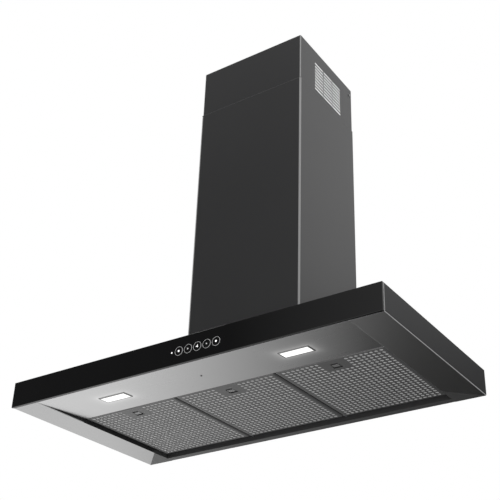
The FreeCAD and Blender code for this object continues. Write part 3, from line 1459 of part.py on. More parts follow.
def export(nodes):
    """Write one file for each node."""
    os.makedirs("parts", exist_ok=True)
    for node in nodes:
        node.Shape.exportStep(f"parts/{node.Label}.step")
        print(node.Label, len(node.Shape.Solids), "solids", round(node.Shape.Volume), "mm3")


pieces = build()
check(pieces)
export(pieces)
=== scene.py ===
"""The looks of a wall-mounted chimney hood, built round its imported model.

Lengths are metres in the model's frame: X to the right, +Y into the wall, +Z up, with the origin
at the middle of the canopy's back at the level of its underside.
"""

import json
import math

import bmesh
import bpy
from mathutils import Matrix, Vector


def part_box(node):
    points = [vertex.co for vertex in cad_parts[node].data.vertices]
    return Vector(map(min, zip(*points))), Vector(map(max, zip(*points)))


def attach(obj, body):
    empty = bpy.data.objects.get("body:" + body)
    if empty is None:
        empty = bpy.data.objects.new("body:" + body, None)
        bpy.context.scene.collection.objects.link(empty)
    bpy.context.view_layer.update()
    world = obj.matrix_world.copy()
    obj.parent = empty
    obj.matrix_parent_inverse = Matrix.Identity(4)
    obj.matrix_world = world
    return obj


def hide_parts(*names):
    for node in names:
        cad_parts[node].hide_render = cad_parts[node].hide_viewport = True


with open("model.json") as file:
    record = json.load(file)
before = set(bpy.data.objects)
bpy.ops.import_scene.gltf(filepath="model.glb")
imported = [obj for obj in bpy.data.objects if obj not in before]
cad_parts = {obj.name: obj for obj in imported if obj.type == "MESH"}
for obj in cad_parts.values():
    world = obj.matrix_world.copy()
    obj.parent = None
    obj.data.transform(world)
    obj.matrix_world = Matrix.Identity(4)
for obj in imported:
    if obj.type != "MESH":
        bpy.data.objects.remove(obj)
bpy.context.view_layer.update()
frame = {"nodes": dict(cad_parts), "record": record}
NODES = frame["nodes"]
MM = 0.001
SIDES = ("left", "centre", "right")

# Tones of the coat, of its edges, lightened partly as wear and partly as painted highlight, and
# of the painted highlights on its folds, as linear colours.
COAT = (0.026, 0.026, 0.027)
COAT_WEAR_AND_HIGHLIGHT = (0.26, 0.26, 0.26)
FOLD_HIGHLIGHT = (0.62, 0.62, 0.62)
COVER_FOLD_HIGHLIGHT = (0.36, 0.36, 0.36)

# Tones of the bare metals.
STEEL = (0.62, 0.62, 0.62)
PANEL_STEEL = (0.57, 0.57, 0.57)
STRIP_STEEL = (0.48, 0.48, 0.48)
BEZEL_STEEL = (0.36, 0.36, 0.36)
EDGE_STEEL = (0.30, 0.30, 0.30)
LATCH_STEEL = (0.28, 0.28, 0.28)
GRID_STEEL = (0.165, 0.165, 0.165)
HEM_STEEL = (0.14, 0.14, 0.14)
RAIL_STEEL = (0.11, 0.11, 0.11)
RING_STEEL = (0.72, 0.72, 0.72)
ZINC = (0.50, 0.52, 0.54)
WORN_ZINC = (0.66, 0.67, 0.68)
ALUMINIUM = (0.86, 0.86, 0.86)
# Painted shade: the tone of the gaps between the filter mesh's wires.
MESH_GAP_SHADE = (0.45, 0.45, 0.45)

# Tones of glass, plastics, board, paint and print.
GLASS = (0.0035, 0.0035, 0.0038)
GLASS_EDGE = (0.06, 0.065, 0.065)
BLACK = (0.018, 0.018, 0.019)
FOAM = (0.012, 0.012, 0.012)
ENAMEL = (0.03, 0.032, 0.035)
BOARD = (0.018, 0.10, 0.045)
TRACKS = (0.03, 0.15, 0.065)
FROST = (0.84, 0.84, 0.82)
WHITE = (0.90, 0.90, 0.88)
PRINT = (0.75, 0.75, 0.74)
LAMP_LIGHT = (1.0, 0.995, 0.98)
MARK_LIGHT = (1.0, 1.0, 1.0)

# Stretch of a texture: none, or strokes along an axis.
EVEN = (1, 1, 1)
ALONG_X = (0.02, 1, 1)
ALONG_Y = (1, 0.02, 1)
ALONG_Z = (1, 1, 0.03)
STROKES = 900.0

# Range that most of a noise lies in.
NOISE_SPAN = (0.3, 0.7)

# Worn edges, which on the coat are partly a painted highlight: how wide, the cosine at which wear
# starts and is full, where it breaks up, and the share of the roughness that it leaves.
COAT_WEAR_AND_HIGHLIGHT_WIDTH = 0.9 * MM
STEEL_WEAR = 0.35 * MM
SMALL_WEAR = 0.3 * MM
WEAR_AND_HIGHLIGHT_TURN = (0.97, 0.80)
WEAR_AND_HIGHLIGHT_BREAKS = (0.42, 0.6, 0.25, 1.0)
WEAR_AND_HIGHLIGHT_NOISE = 60.0
WORN_STEEL_GLOSS = 0.7
WORN_PLASTIC_GLOSS = 0.8

# Painted highlights on the folds, lighter bands where the folds would catch the light: half their
# width on the canopy and on the covers, and how far they fade out.
FOLD_HIGHLIGHT_REACH = 1.1 * MM
COVER_HIGHLIGHT_REACH = 1.9 * MM
HIGHLIGHT_FADE = 1.3

# The canopy's bare steel: how far it has to face down, at which levels, and its roughness.
STRIP_FACING = (-0.55, -0.95)
STRIP_LEVELS = (2.0 * MM, 1.0 * MM)
STRIP_ROUGHNESS = 0.31

# Painted glow of the lamps on the panel round them, light that the panel itself gives off, and
# the light of the lenses and marks.
PAINTED_GLOW_LEVEL = 0.30
PAINTED_GLOW_REACH = 9.0 * MM
LENS_LIGHT = 0.8
INDICATOR_LIGHT = 0.9
BRIGHT_LIGHT = 1.0
DIM_LIGHT = 0.12

# Wires of the filter mesh, as painted.
WIRE_PITCH = 2.6 * MM
WIRE_HEIGHT = 0.6 * MM

# Numbers of the Mix node's two inputs and its output, for each kind of value.
MIX_SOCKETS = {"RGBA": (6, 7, 2), "FLOAT": (2, 3, 0)}


# ---------------------------------------------------------------- materials

def scaled(colour, factor, lift=0.0):
    """Colour made brighter or darker, and kept within white."""
    return tuple(min(part * factor + lift, 1.0) for part in colour)


class Finish:
    """One procedural material round a single Principled shader."""

    def __init__(self, name, colour, roughness, metallic=0.0, specular=0.5):
        """Start with one colour and gloss all over."""
        self.material = bpy.data.materials.new(name)
        self.material.use_nodes = True
        self.tree = self.material.node_tree
        self.shader = self.tree.nodes["Principled BSDF"]
        self.colour = colour
        self.roughness = roughness
        self.feed(self.shader.inputs["Metallic"], metallic)
        self.feed(self.shader.inputs["Specular IOR Level"], specular)
        self.tint = colour
        self.gloss = roughness
        self.height = None
        self.normal = None
        self.place = self.node("ShaderNodeTexCoord").outputs["Object"]

    def node(self, kind, **values):
        """New node with its own settings."""
        made = self.tree.nodes.new(kind)
        for key, value in values.items():
            setattr(made, key, value)
        return made

    def link(self, source, target):
        """Connect two sockets."""
        self.tree.links.new(source, target)

    def feed(self, socket, value):
        """Give a socket a number, a colour or the output of another socket."""
        if isinstance(value, (int, float)):
            socket.default_value = value
        elif isinstance(value, tuple):
            socket.default_value = (*value, 1)
        else:
            self.link(value, socket)

    def noise(self, scale, stretch=EVEN, detail=3.0):
        """Noise in the model's own space, stretched along its axes."""
        mapping = self.node("ShaderNodeMapping")
        mapping.inputs["Scale"].default_value = stretch
        self.link(self.place, mapping.inputs["Vector"])
        noise = self.node("ShaderNodeTexNoise")
        noise.inputs["Scale"].default_value = scale
        noise.inputs["Detail"].default_value = detail
        self.link(mapping.outputs["Vector"], noise.inputs["Vector"])
        return noise.outputs["Fac"]

    def ranged(self, value, low, high, new_low, new_high):
        """Value mapped from one range to another, and kept inside it."""
        mapper = self.node("ShaderNodeMapRange")
        for name, number in zip(("From Min", "From Max", "To Min", "To Max"),
                                (low, high, new_low, new_high)):
            mapper.inputs[name].default_value = number
        self.link(value, mapper.inputs["Value"])
        return mapper.outputs["Result"]

    def maths(self, operation, first, second=0.0):
        """Result of a maths node on two sockets or numbers."""
        made = self.node("ShaderNodeMath", operation=operation)
        self.feed(made.inputs[0], first)
        self.feed(made.inputs[1], second)
        return made.outputs["Value"]

    def mixed(self, kind, factor, first, second):
        """Value between two others of its kind."""
        mixer = self.node("ShaderNodeMix", data_type=kind)
        start, end, result = MIX_SOCKETS[kind]
        self.link(factor, mixer.inputs["Factor"])
        self.feed(mixer.inputs[start], first)
        self.feed(mixer.inputs[end], second)
        return mixer.outputs[result]

    def blended(self, factor, first, second):
        """Colour between two colours or sockets."""
        return self.mixed("RGBA", factor, first, second)

    def mixed_number(self, factor, first, second):
        """Number between two numbers or sockets."""
        return self.mixed("FLOAT", factor, first, second)

    def parts(self, vector=None):
        """X, Y and Z of a vector, or of the place in the model's own space."""
        split = self.node("ShaderNodeSeparateXYZ")
        self.link(self.place if vector is None else vector, split.inputs["Vector"])
        return [split.outputs[axis] for axis in "XYZ"]

    def near(self, value, line, reach):
        """One within reach of a line, nought a little further away."""
        away = self.maths("ABSOLUTE", self.maths("SUBTRACT", value, line))
        return self.ranged(away, reach, HIGHLIGHT_FADE * reach, 1.0, 0.0)

    def mottle(self, scale, amount):
        """Cloudy variation of the colour."""
        self.tint = self.blended(self.noise(scale), scaled(self.colour, 1 - amount),
                                 scaled(self.colour, 1 + amount))
        return self

    def grain(self, scale, stretch, spread, depth):
        """Fine grain that varies gloss and height, under broad smudges."""
        fine = self.noise(scale, stretch, detail=2.0)
        smudge = self.noise(2.5, detail=2.0)
        low = max(self.roughness - spread, 0.02)
        strokes = self.ranged(fine, *NOISE_SPAN, low, self.roughness + spread)
        smudges = self.ranged(smudge, *NOISE_SPAN, -spread / 2, spread / 2)
        self.gloss = self.maths("ADD", strokes, smudges)
        self.height = (fine, depth)
        return self

    def edges(self, width, colour, gloss):
        """Worn edges, on the coat partly a painted highlight, found where the rounded normal
        leaves the flat one.
        """
        soft = self.node("ShaderNodeBevel", samples=4)
        soft.inputs["Radius"].default_value = width
        flat = self.node("ShaderNodeNewGeometry")
        turn = self.node("ShaderNodeVectorMath", operation="DOT_PRODUCT")
        self.link(soft.outputs["Normal"], turn.inputs[0])
        self.link(flat.outputs["Normal"], turn.inputs[1])
        wear_and_highlight = self.ranged(turn.outputs["Value"], *WEAR_AND_HIGHLIGHT_TURN, 0.0, 1.0)
        broken = self.ranged(self.noise(WEAR_AND_HIGHLIGHT_NOISE), *WEAR_AND_HIGHLIGHT_BREAKS)
        mask = self.maths("MULTIPLY", wear_and_highlight, broken)
        self.tint = self.blended(mask, self.tint, colour)
        self.gloss = self.mixed_number(mask, self.gloss, gloss)
        self.normal = soft.outputs["Normal"]
        return self

    def glow(self, colour, strength):
        """Light of the surface itself, of one colour."""
        self.feed(self.shader.inputs["Emission Color"], colour)
        self.feed(self.shader.inputs["Emission Strength"], strength)
        return self

    def close(self):
        """Join the finished channels to the shader."""
        self.feed(self.shader.inputs["Base Color"], self.tint)
        self.feed(self.shader.inputs["Roughness"], self.gloss)
        if self.height is not None:
            fine, depth = self.height
            bump = self.node("ShaderNodeBump")
            bump.inputs["Distance"].default_value = depth
            bump.inputs["Strength"].default_value = 1.0
            self.link(fine, bump.inputs["Height"])
            if self.normal is not None:
                self.link(self.normal, bump.inputs["Normal"])
            self.normal = bump.outputs["Normal"]
        if self.normal is not None:
            self.link(self.normal, self.shader.inputs["Normal"])
        return self.material


def satin_coat(name, roughness, specular, depth=0.004 * MM):
    """Dark satin coat on steel: fine grain, faint smudges, and edges lightened partly as wear and
    partly as painted highlight.
    """
    made = Finish(name, COAT, roughness, specular=specular)
    made.mottle(3.0, 0.07)
    made.grain(1500.0, EVEN, 0.03, depth)
    # Lighter edges, partly wear and partly painted highlight.
    return made.edges(COAT_WEAR_AND_HIGHLIGHT_WIDTH, COAT_WEAR_AND_HIGHLIGHT, roughness * WORN_STEEL_GLOSS)


def brushed(name, colour, roughness, stretch=ALONG_X, spread=0.03, metallic=1.0):
    """Brushed steel, its strokes along the axis that is stretched least."""
    made = Finish(name, colour, roughness, metallic=metallic)
    made.mottle(2.0, 0.02)
    made.grain(STROKES, stretch, spread, 0.001 * MM)
    return made.edges(STEEL_WEAR, scaled(colour, 1.35), roughness * WORN_STEEL_GLOSS)


def moulded(name, colour, roughness=0.5):
    """Moulded plastic with a fine spark grain."""
    made = Finish(name, colour, roughness, specular=0.4)
    made.mottle(20.0, 0.08)
    made.grain(2200.0, EVEN, 0.05, 0.01 * MM)
    return made.edges(SMALL_WEAR, scaled(colour, 1.8, 0.01), roughness * WORN_PLASTIC_GLOSS)


def cover_coat():
    """Satin coat of the chimney covers, with a painted highlight on their front folds."""
    made = satin_coat("coated_steel", 0.36, 0.46)
    x, y, _ = made.parts()
    across = made.maths("ABSOLUTE", x)
    for cover in ("lower_chimney_cover", "upper_chimney_cover"):
        low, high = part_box(cover)
        at_side = made.near(across, high.x, COVER_HIGHLIGHT_REACH)
        corner = made.maths("MULTIPLY", at_side, made.near(y, low.y, COVER_HIGHLIGHT_REACH))
        # Painted highlight: the front folds are lightened by where they lie on the cover.
        made.tint = made.blended(corner, made.tint, COVER_FOLD_HIGHLIGHT)
    return made


def canopy_finish():
    """Dark coat outside and brushed steel on what faces down, with painted highlights on its
    folds, as one shader.
    """
    made = satin_coat("canopy_finish", 0.5, 0.3, depth=0.0005 * MM)
    geometry = made.node("ShaderNodeNewGeometry")
    facing = made.parts(geometry.outputs["Normal"])[2]
    x, y, z = made.parts()
    down = made.ranged(facing, *STRIP_FACING, 0.0, 1.0)
    low = made.ranged(z, *STRIP_LEVELS, 0.0, 1.0)
    mask = made.maths("MULTIPLY", down, low)
    strokes = made.noise(STROKES, ALONG_Y, detail=2.0)
    steel = made.blended(strokes, scaled(STRIP_STEEL, 0.96), STRIP_STEEL)
    made.tint = made.blended(mask, made.tint, steel)
    made.gloss = made.mixed_number(mask, made.gloss, STRIP_ROUGHNESS)
    # Painted highlights on the folds: a light tone, not metallic, set by place on the canopy.
    fold_highlight = canopy_fold_highlights(made, x, y, z)
    made.tint = made.blended(fold_highlight, made.tint, FOLD_HIGHLIGHT)
    bare = made.maths("SUBTRACT", 1.0, fold_highlight)
    made.link(made.maths("MULTIPLY", mask, bare), made.shader.inputs["Metallic"])
    return made


def canopy_fold_highlights(made, x, y, z):
    """Mask of the painted highlights on the canopy's side folds and on the strips' edges beside
    the lamp panel.
    """
    low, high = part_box("canopy_shell")
    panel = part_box("lamp_panel")[1]
    across = made.maths("ABSOLUTE", x)
    at_side = made.near(across, high.x, FOLD_HIGHLIGHT_REACH)
    at_foot = made.near(z, low.z, FOLD_HIGHLIGHT_REACH)
    at_front = made.near(y, low.y, FOLD_HIGHLIGHT_REACH)
    outer = made.maths("MULTIPLY", at_side, made.maths("MAXIMUM", at_foot, at_front))
    beside_panel = made.ranged(y, panel.y, panel.y + FOLD_HIGHLIGHT_REACH, 1.0, 0.0)
    inner = made.maths("MULTIPLY", made.near(across, panel.x, FOLD_HIGHLIGHT_REACH / 2), at_foot)
    inner = made.maths("MULTIPLY", inner, beside_panel)
    return made.maths("MAXIMUM", outer, inner)


def lamp_panel_steel():
    """Fine brushed steel of the lamp panel, with the lamps' glow painted on it as its own light.
    """
    made = brushed("lamp_panel_steel", PANEL_STEEL, 0.28, spread=0.006)
    x, y, _ = made.parts()
    # Painted light: the panel itself glows round each lens, fading with the distance from it.
    glow = 0.0
    for side in ("left", "right"):
        low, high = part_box(f"lamp_lens_{side}")
        squares = []
        for value, start, end in ((x, low.x, high.x), (y, low.y, high.y)):
            from_middle = made.maths("ABSOLUTE", made.maths("SUBTRACT", value, (start + end) / 2))
            from_lens = made.maths("SUBTRACT", from_middle, (end - start) / 2)
            from_lens = made.maths("MAXIMUM", from_lens, 0.0)
            squares.append(made.maths("MULTIPLY", from_lens, from_lens))
        distance = made.maths("SQRT", made.maths("ADD", *squares))
        fading = made.maths("EXPONENT", made.maths("DIVIDE", distance, -PAINTED_GLOW_REACH))
        glow = made.maths("ADD", glow, fading)
    return made.glow(LAMP_LIGHT, made.maths("MULTIPLY", glow, PAINTED_GLOW_LEVEL))


def black_glass():
    """Polished glass with black enamel behind it."""
    made = Finish("black_glass", GLASS, 0.04, specular=0.45)
    made.mottle(9.0, 0.15)
    smudge = made.noise(7.0, (1, 1, 2), detail=5.0)
    made.gloss = made.ranged(smudge, 0.45, 0.75, 0.035, 0.085)
    return made.edges(SMALL_WEAR, GLASS_EDGE, 0.12)


def galvanised():
    """Zinc coated sheet with its spangle."""
    made = Finish("galvanised", ZINC, 0.42, metallic=1.0)
    cells = made.node("ShaderNodeTexVoronoi")
    cells.inputs["Scale"].default_value = 90.0
    made.link(made.place, cells.inputs["Vector"])
    shade = made.node("ShaderNodeSeparateColor")
    made.link(cells.outputs["Color"], shade.inputs["Color"])
    made.tint = made.blended(shade.outputs["Red"], scaled(ZINC, 0.82), ZINC)
    made.gloss = made.ranged(shade.outputs["Green"], 0.0, 1.0, 0.34, 0.52)
    return made.edges(SMALL_WEAR, WORN_ZINC, 0.35)


def wire_mesh():
    """Expanded aluminium mesh: crossed wires, bright against gaps darkened with painted shade."""
    made = Finish("wire_mesh", ALUMINIUM, 0.6, metallic=0.55)
    x, y, _ = made.parts()
    wires = []
    for slant in (1.0, -1.0):
        along = made.maths("ADD", made.maths("MULTIPLY", x, slant), y)
        wave = made.maths("SINE", made.maths("MULTIPLY", along, math.tau / WIRE_PITCH))
        wires.append(made.ranged(wave, -0.4, 0.5, 0.0, 1.0))
    crossed = made.maths("MAXIMUM", *wires)
    # Painted shade: the gaps between the wires are darker.
    made.tint = made.blended(crossed, MESH_GAP_SHADE, ALUMINIUM)
    made.height = (crossed, WIRE_HEIGHT)
    return made


def lit_lens():
    """Frosted lens, lit from behind."""
    made = Finish("lit_lens", WHITE, 0.45)
    made.tint = made.blended(made.noise(160.0, detail=2.0), FROST, WHITE)
    return made.glow(LAMP_LIGHT, LENS_LIGHT)


def lit_mark(name, strength):
    """Small symbol, printed and lit."""
    made = Finish(name, PRINT, 0.5)
    made.mottle(300.0, 0.04)
    return made.glow(MARK_LIGHT, strength)


def board_laminate():
    """Green solder mask over copper tracks."""
    made = Finish("board_laminate", BOARD, 0.32)
    tracks = made.noise(350.0, (1, 1, 4), detail=0.0)
    lines = made.ranged(tracks, 0.49, 0.51, 0.0, 1.0)
    made.tint = made.blended(lines, BOARD, TRACKS)
    made.height = (lines, 0.03 * MM)
    return made


def every_finish():
    """Every finish, by the name of the record's slot or by its own name."""
    return {
        "satin_steel": brushed("satin_steel", STEEL, 0.28),
        "coated_steel": cover_coat(),
        "coated_screw": satin_coat("coated_screw", 0.4, 0.4),
        "canopy": canopy_finish(),
        "lamp_panel": lamp_panel_steel(),
        "bezel_steel": brushed("bezel_steel", BEZEL_STEEL, 0.35),
        "rail_steel": brushed("rail_steel", RAIL_STEEL, 0.45, metallic=0.6),
        "grid_steel": brushed("grid_steel", GRID_STEEL, 0.45, metallic=0.7),
        "latch_steel": brushed("latch_steel", LATCH_STEEL, 0.4, metallic=0.7),
        "edge_steel": brushed("edge_steel", EDGE_STEEL, 0.4),
        "hem_steel": brushed("hem_steel", HEM_STEEL, 0.45),
        "button_metal": brushed("button_metal", RING_STEEL, 0.42, ALONG_Z, metallic=0.6),
        "zinc_steel": galvanised(),
        "mesh_aluminium": wire_mesh(),
        "black_glass": black_glass(),
        "black_plastic": moulded("black_plastic", BLACK),
        "foam_tape": moulded("foam_tape", FOAM, 0.8),
        "motor_enamel": moulded("motor_enamel", ENAMEL, 0.35),
        "board_laminate": board_laminate(),
        "lens_plastic": lit_lens(),
        "indicator_plastic": lit_mark("indicator_plastic", INDICATOR_LIGHT),
        "bright_mark": lit_mark("bright_mark", BRIGHT_LIGHT),
        "dim_mark": lit_mark("dim_mark", DIM_LIGHT),
    }


FINISHES = {name: made.close() for name, made in every_finish().items()}
SLOTS = {entry["node"]: entry["material_slot"] for entry in frame["record"]["subparts"]}
OWN_FINISH = {
    "canopy_shell": "canopy",
    "back_rail": "rail_steel",
    "lamp_panel": "lamp_panel",
    "lamp_housing_left": "bezel_steel",
    "lamp_housing_right": "bezel_steel",
    "panel_stay": "coated_screw",
    "canopy_screws": "coated_screw",
    "ear_screws": "edge_steel",
    **{f"filter_latch_{side}": "latch_steel" for side in SIDES},
}


def dress(thing, finish):
    """Give a piece one finish all over."""
    thing.data.materials.clear()
    thing.data.materials.append(FINISHES[finish])


def dress_nodes():
    """Give every node of the model its own finish, or else that of its slot."""
    for name, thing in NODES.items():
        dress(thing, OWN_FINISH.get(name, SLOTS[name]))


# ---------------------------------------------------------------- pieces

# Mesh of a filter: its wire, its gap to the face, and its pleats.
WIRE = 0.4 * MM
MESH_GAP = 0.05 * MM
CREST_HALF = 4.3 * MM
VALLEY_START = 5.0 * MM

# Lens of a lamp.
LENS_THICK = 2.0 * MM
LENS_CROWN = 1.0 * MM
LENS_COLUMNS = 16
LENS_ROWS = 6

# Bright upper edge of the lower cover.
HEM_PROUD = 0.12 * MM
HEM_DEEP = 0.6 * MM
HEM_HEIGHT = 1.1 * MM

# Rings round the buttons.
RING_WALL = 0.9 * MM
RING_ROLL = 0.25 * MM
RING_SEGMENTS = 64

# Symbols on the buttons.  Outlines are in millimetres from the button's middle.
BUTTONS = range(1, 6)
BRIGHT_BUTTONS = (1, 3, 5)
MARK_DEPTH = 0.2 * MM
MARK_PROUD = 0.03 * MM
DISC_CORNERS = 24
BRIGHT_DISC = 2.1 * MM
DIM_DISC = 1.5 * MM
TRIANGLE = ((-1.6, 2.2), (-1.6, -2.2), (2.2, 0))
BLADE = ((0.0, 0.3), (1.4, 0.9), (2.0, 2.4), (0.4, 3.0), (-0.6, 1.7))
BLADES = 3

# Perforated face of a filter: its holes, and the field without holes round the latch.
HOLE_PITCH_X = 11.0 * MM
HOLE_PITCH_Y = 11.38 * MM
HOLE_RADIUS = 4.0 * MM
HOLE_CORNERS = 12
HOLE_COLUMNS = 21
HOLE_ROWS = 24
FIRST_ROW = 11.5 * MM
BLANK_COLUMNS = 5
BLANK_ROWS = 4

# Its sheet and rolled edges, the latch's window and the slot of the latch's bolt.
SHEET = 0.6 * MM
ROLL = 3.0 * MM
SIDE_ROLL = 5.5 * MM
ROLL_STEPS = 6
WINDOW_FRONT = 20.0 * MM
WINDOW_BACK = 42.0 * MM
WINDOW_NARROW = 7.5 * MM
WINDOW_WIDE = 10.5 * MM
SLOT_HALF = 6.6 * MM
SLOT_LOW = 3.2 * MM
SLOT_HIGH = 5.8 * MM

# Degrees between faces from which an edge stays sharp, on sheet and on the rings.
SHARP_FOLD = 35.0
RING_FOLD = 50.0


def to_piece(name, shape, body, finish, replaced=(), keep_normals=False):
    """Make a bmesh a piece that rides on a body and stands for nodes."""
    mesh = bpy.data.meshes.new(name)
    if not keep_normals:
        bmesh.ops.recalc_face_normals(shape, faces=shape.faces)
    shape.to_mesh(mesh)
    shape.free()
    piece = bpy.data.objects.new(name, mesh)
    bpy.context.scene.collection.objects.link(piece)
    dress(piece, finish)
    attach(piece, body)
    if replaced:
        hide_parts(*replaced)
    return piece


def smooth_by_angle(piece, degrees=SHARP_FOLD):
    """Smooth shading that keeps the sharp folds."""
    limit = math.radians(degrees)
    mesh = piece.data
    for face in mesh.polygons:
        face.use_smooth = True
    shape = bmesh.new()
    shape.from_mesh(mesh)
    for edge in shape.edges:
        edge.smooth = len(edge.link_faces) == 2 and edge.calc_face_angle(0.0) < limit
    shape.to_mesh(mesh)
    shape.free()


class Points:
    """Corners of a mesh, made once for each place."""

    def __init__(self, shape):
        """Start without any corners."""
        self.shape = shape
        self.known = {}

    def at(self, x, y, z):
        """Corner at a place, made when it is first asked for."""
        key = (round(x, 7), round(y, 7), round(z, 7))
        if key not in self.known:
            self.known[key] = self.shape.verts.new((x, y, z))
        return self.known[key]

    def face(self, places):
        """Face through places, without corners that fall together."""
        corners = [self.at(*place) for place in places]
        distinct = [c for i, c in enumerate(corners) if c is not corners[i - 1]]
        if len(distinct) > 2:
            self.shape.faces.new(distinct)


def holed_cell(points, x_range, y_range, centre, z):
    """Rectangular patch of sheet round one hole."""
    (x0, x1), (y0, y1) = x_range, y_range
    cx, cy = centre
    corners = [(x1, y0), (x1, y1), (x0, y1), (x0, y0)]
    quarter = HOLE_CORNERS // 4
    towards_first_corner = -math.tau / 8
    ring = []
    for number in range(HOLE_CORNERS):
        angle = towards_first_corner + math.tau * number / HOLE_CORNERS
        ring.append((cx + HOLE_RADIUS * math.cos(angle), cy + HOLE_RADIUS * math.sin(angle), z))
    for side in range(4):
        start = (*corners[side], z)
        end = (*corners[(side + 1) % 4], z)
        first = side * quarter
        arc = [ring[(first + step) % HOLE_CORNERS] for step in range(quarter + 1)]
        points.face([start, end, *reversed(arc)])


def plate_edges(count, pitch, first):
    """Borders between the cells of a row of holes."""
    return [first + (number - 0.5) * pitch for number in range(count + 1)]


def perforated_tray(side):
    """Perforated filter face with rolled edges and its latch window, as thin sheet."""
    node = f"filter_tray_{side}"
    low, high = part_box(node)
    middle = (low.x + high.x) / 2
    front = low.y
    z = low.z
    shape = bmesh.new()
    points = Points(shape)
    half_columns = HOLE_COLUMNS // 2
    x_holes = plate_edges(HOLE_COLUMNS, HOLE_PITCH_X, middle - half_columns * HOLE_PITCH_X)
    y_holes = plate_edges(HOLE_ROWS, HOLE_PITCH_Y, front + FIRST_ROW)
    x_lines = [low.x + SIDE_ROLL, *x_holes, high.x - SIDE_ROLL]
    y_lines = [front + ROLL, *y_holes, high.y - ROLL]
    blank_low = half_columns - BLANK_COLUMNS // 2
    blank_high = half_columns + BLANK_COLUMNS // 2
    for column in range(len(x_lines) - 1):
        for row in range(len(y_lines) - 1):
            x_range = (x_lines[column], x_lines[column + 1])
            y_range = (y_lines[row], y_lines[row + 1])
            in_grid = 0 < column <= HOLE_COLUMNS and 0 < row <= HOLE_ROWS
            in_blank = blank_low < column <= blank_high + 1 and 0 < row <= BLANK_ROWS
            if in_blank:
                continue
            if in_grid:
                centre = (sum(x_range) / 2, sum(y_range) / 2)
                holed_cell(points, x_range, y_range, centre, z)
            else:
                points.face([(x_range[0], y_range[0], z), (x_range[1], y_range[0], z),
                             (x_range[1], y_range[1], z), (x_range[0], y_range[1], z)])
    latch_field(points, x_lines[blank_low + 1:blank_high + 3], y_lines[1:BLANK_ROWS + 2],
                middle, front, z)
    rolled_rim(points, x_lines, y_lines, (low, high), middle)
    piece = to_piece(f"tray_face_{side}", shape, f"filter_{side}", "grid_steel",
                     [node])
    thicken(piece, SHEET)
    smooth_by_angle(piece)


def latch_field(points, x_lines, y_lines, middle, front, z):
    """Plain field round the latch with its tapering finger window."""
    window = [(middle - WINDOW_NARROW, front + WINDOW_FRONT),
              (middle + WINDOW_NARROW, front + WINDOW_FRONT),
              (middle + WINDOW_WIDE, front + WINDOW_BACK),
              (middle - WINDOW_WIDE, front + WINDOW_BACK)]
    bottom = [(x, y_lines[0]) for x in x_lines]
    right = [(x_lines[-1], y) for y in y_lines]
    top = [(x, y_lines[-1]) for x in reversed(x_lines)]
    left = [(x_lines[0], y) for y in reversed(y_lines)]
    for number, border in enumerate((bottom, right, top, left)):
        near = window[number]
        far = window[(number + 1) % 4]
        points.face([(*place, z) for place in (*border, far, near)])


def rolled_rim(points, x_lines, y_lines, corners, middle):
    """Edge of the sheet, rolled up into the tray's walls, open at the latch bolt."""
    low, high = corners
    loop = [(x, y_lines[0]) for x in x_lines]
    loop += [(x_lines[-1], y) for y in y_lines[1:]]
    loop += [(x, y_lines[-1]) for x in reversed(x_lines[:-1])]
    loop += [(x_lines[0], y) for y in reversed(y_lines[1:-1])]
    rings = []
    for step in range(ROLL_STEPS + 1):
        angle = math.pi / 2 * step / ROLL_STEPS
        rise = ROLL * (1 - math.cos(angle))
        rings.append([shifted(place, x_lines, y_lines, math.sin(angle), low.z + rise)
                      for place in loop])
    rings.append([shifted(place, x_lines, y_lines, 1.0, high.z) for place in loop])
    # The three stretches of the front wall in the middle make room for the slotted wall.
    first = len([x for x in x_lines if x < middle]) - 2
    beside_slot = range(first + 1, first + 4)
    for ring, (inner, outer) in enumerate(zip(rings, rings[1:])):
        for number in range(len(loop)):
            if ring == ROLL_STEPS and number in beside_slot:
                continue
            points.face([inner[number - 1], inner[number], outer[number], outer[number - 1]])
    slotted_wall(points, rings[-2][first:first + 4], rings[-1][first:first + 4], middle)


def slotted_wall(points, foot, top, middle):
    """Stretch of the tray's front wall with the slot of the latch bolt."""
    y = foot[0][1]
    levels = (foot[0][2] - ROLL + SLOT_LOW, foot[0][2] - ROLL + SLOT_HIGH)
    low_left, high_left = ((middle - SLOT_HALF, y, z) for z in levels)
    low_right, high_right = ((middle + SLOT_HALF, y, z) for z in levels)
    points.face([*foot, low_right, low_left])
    points.face([foot[-1], top[-1], high_right, low_right])
    points.face([*reversed(top), high_left, high_right])
    points.face([top[0], foot[0], low_left, high_left])


def shifted(place, x_lines, y_lines, part, z):
    """Point of the rim, moved outwards from the sheet's border by a part of the roll."""
    x, y = place
    if x == x_lines[0]:
        x -= SIDE_ROLL * part
    if x == x_lines[-1]:
        x += SIDE_ROLL * part
    if y == y_lines[0]:
        y -= ROLL * part
    if y == y_lines[-1]:
        y += ROLL * part
    return (x, y, z)


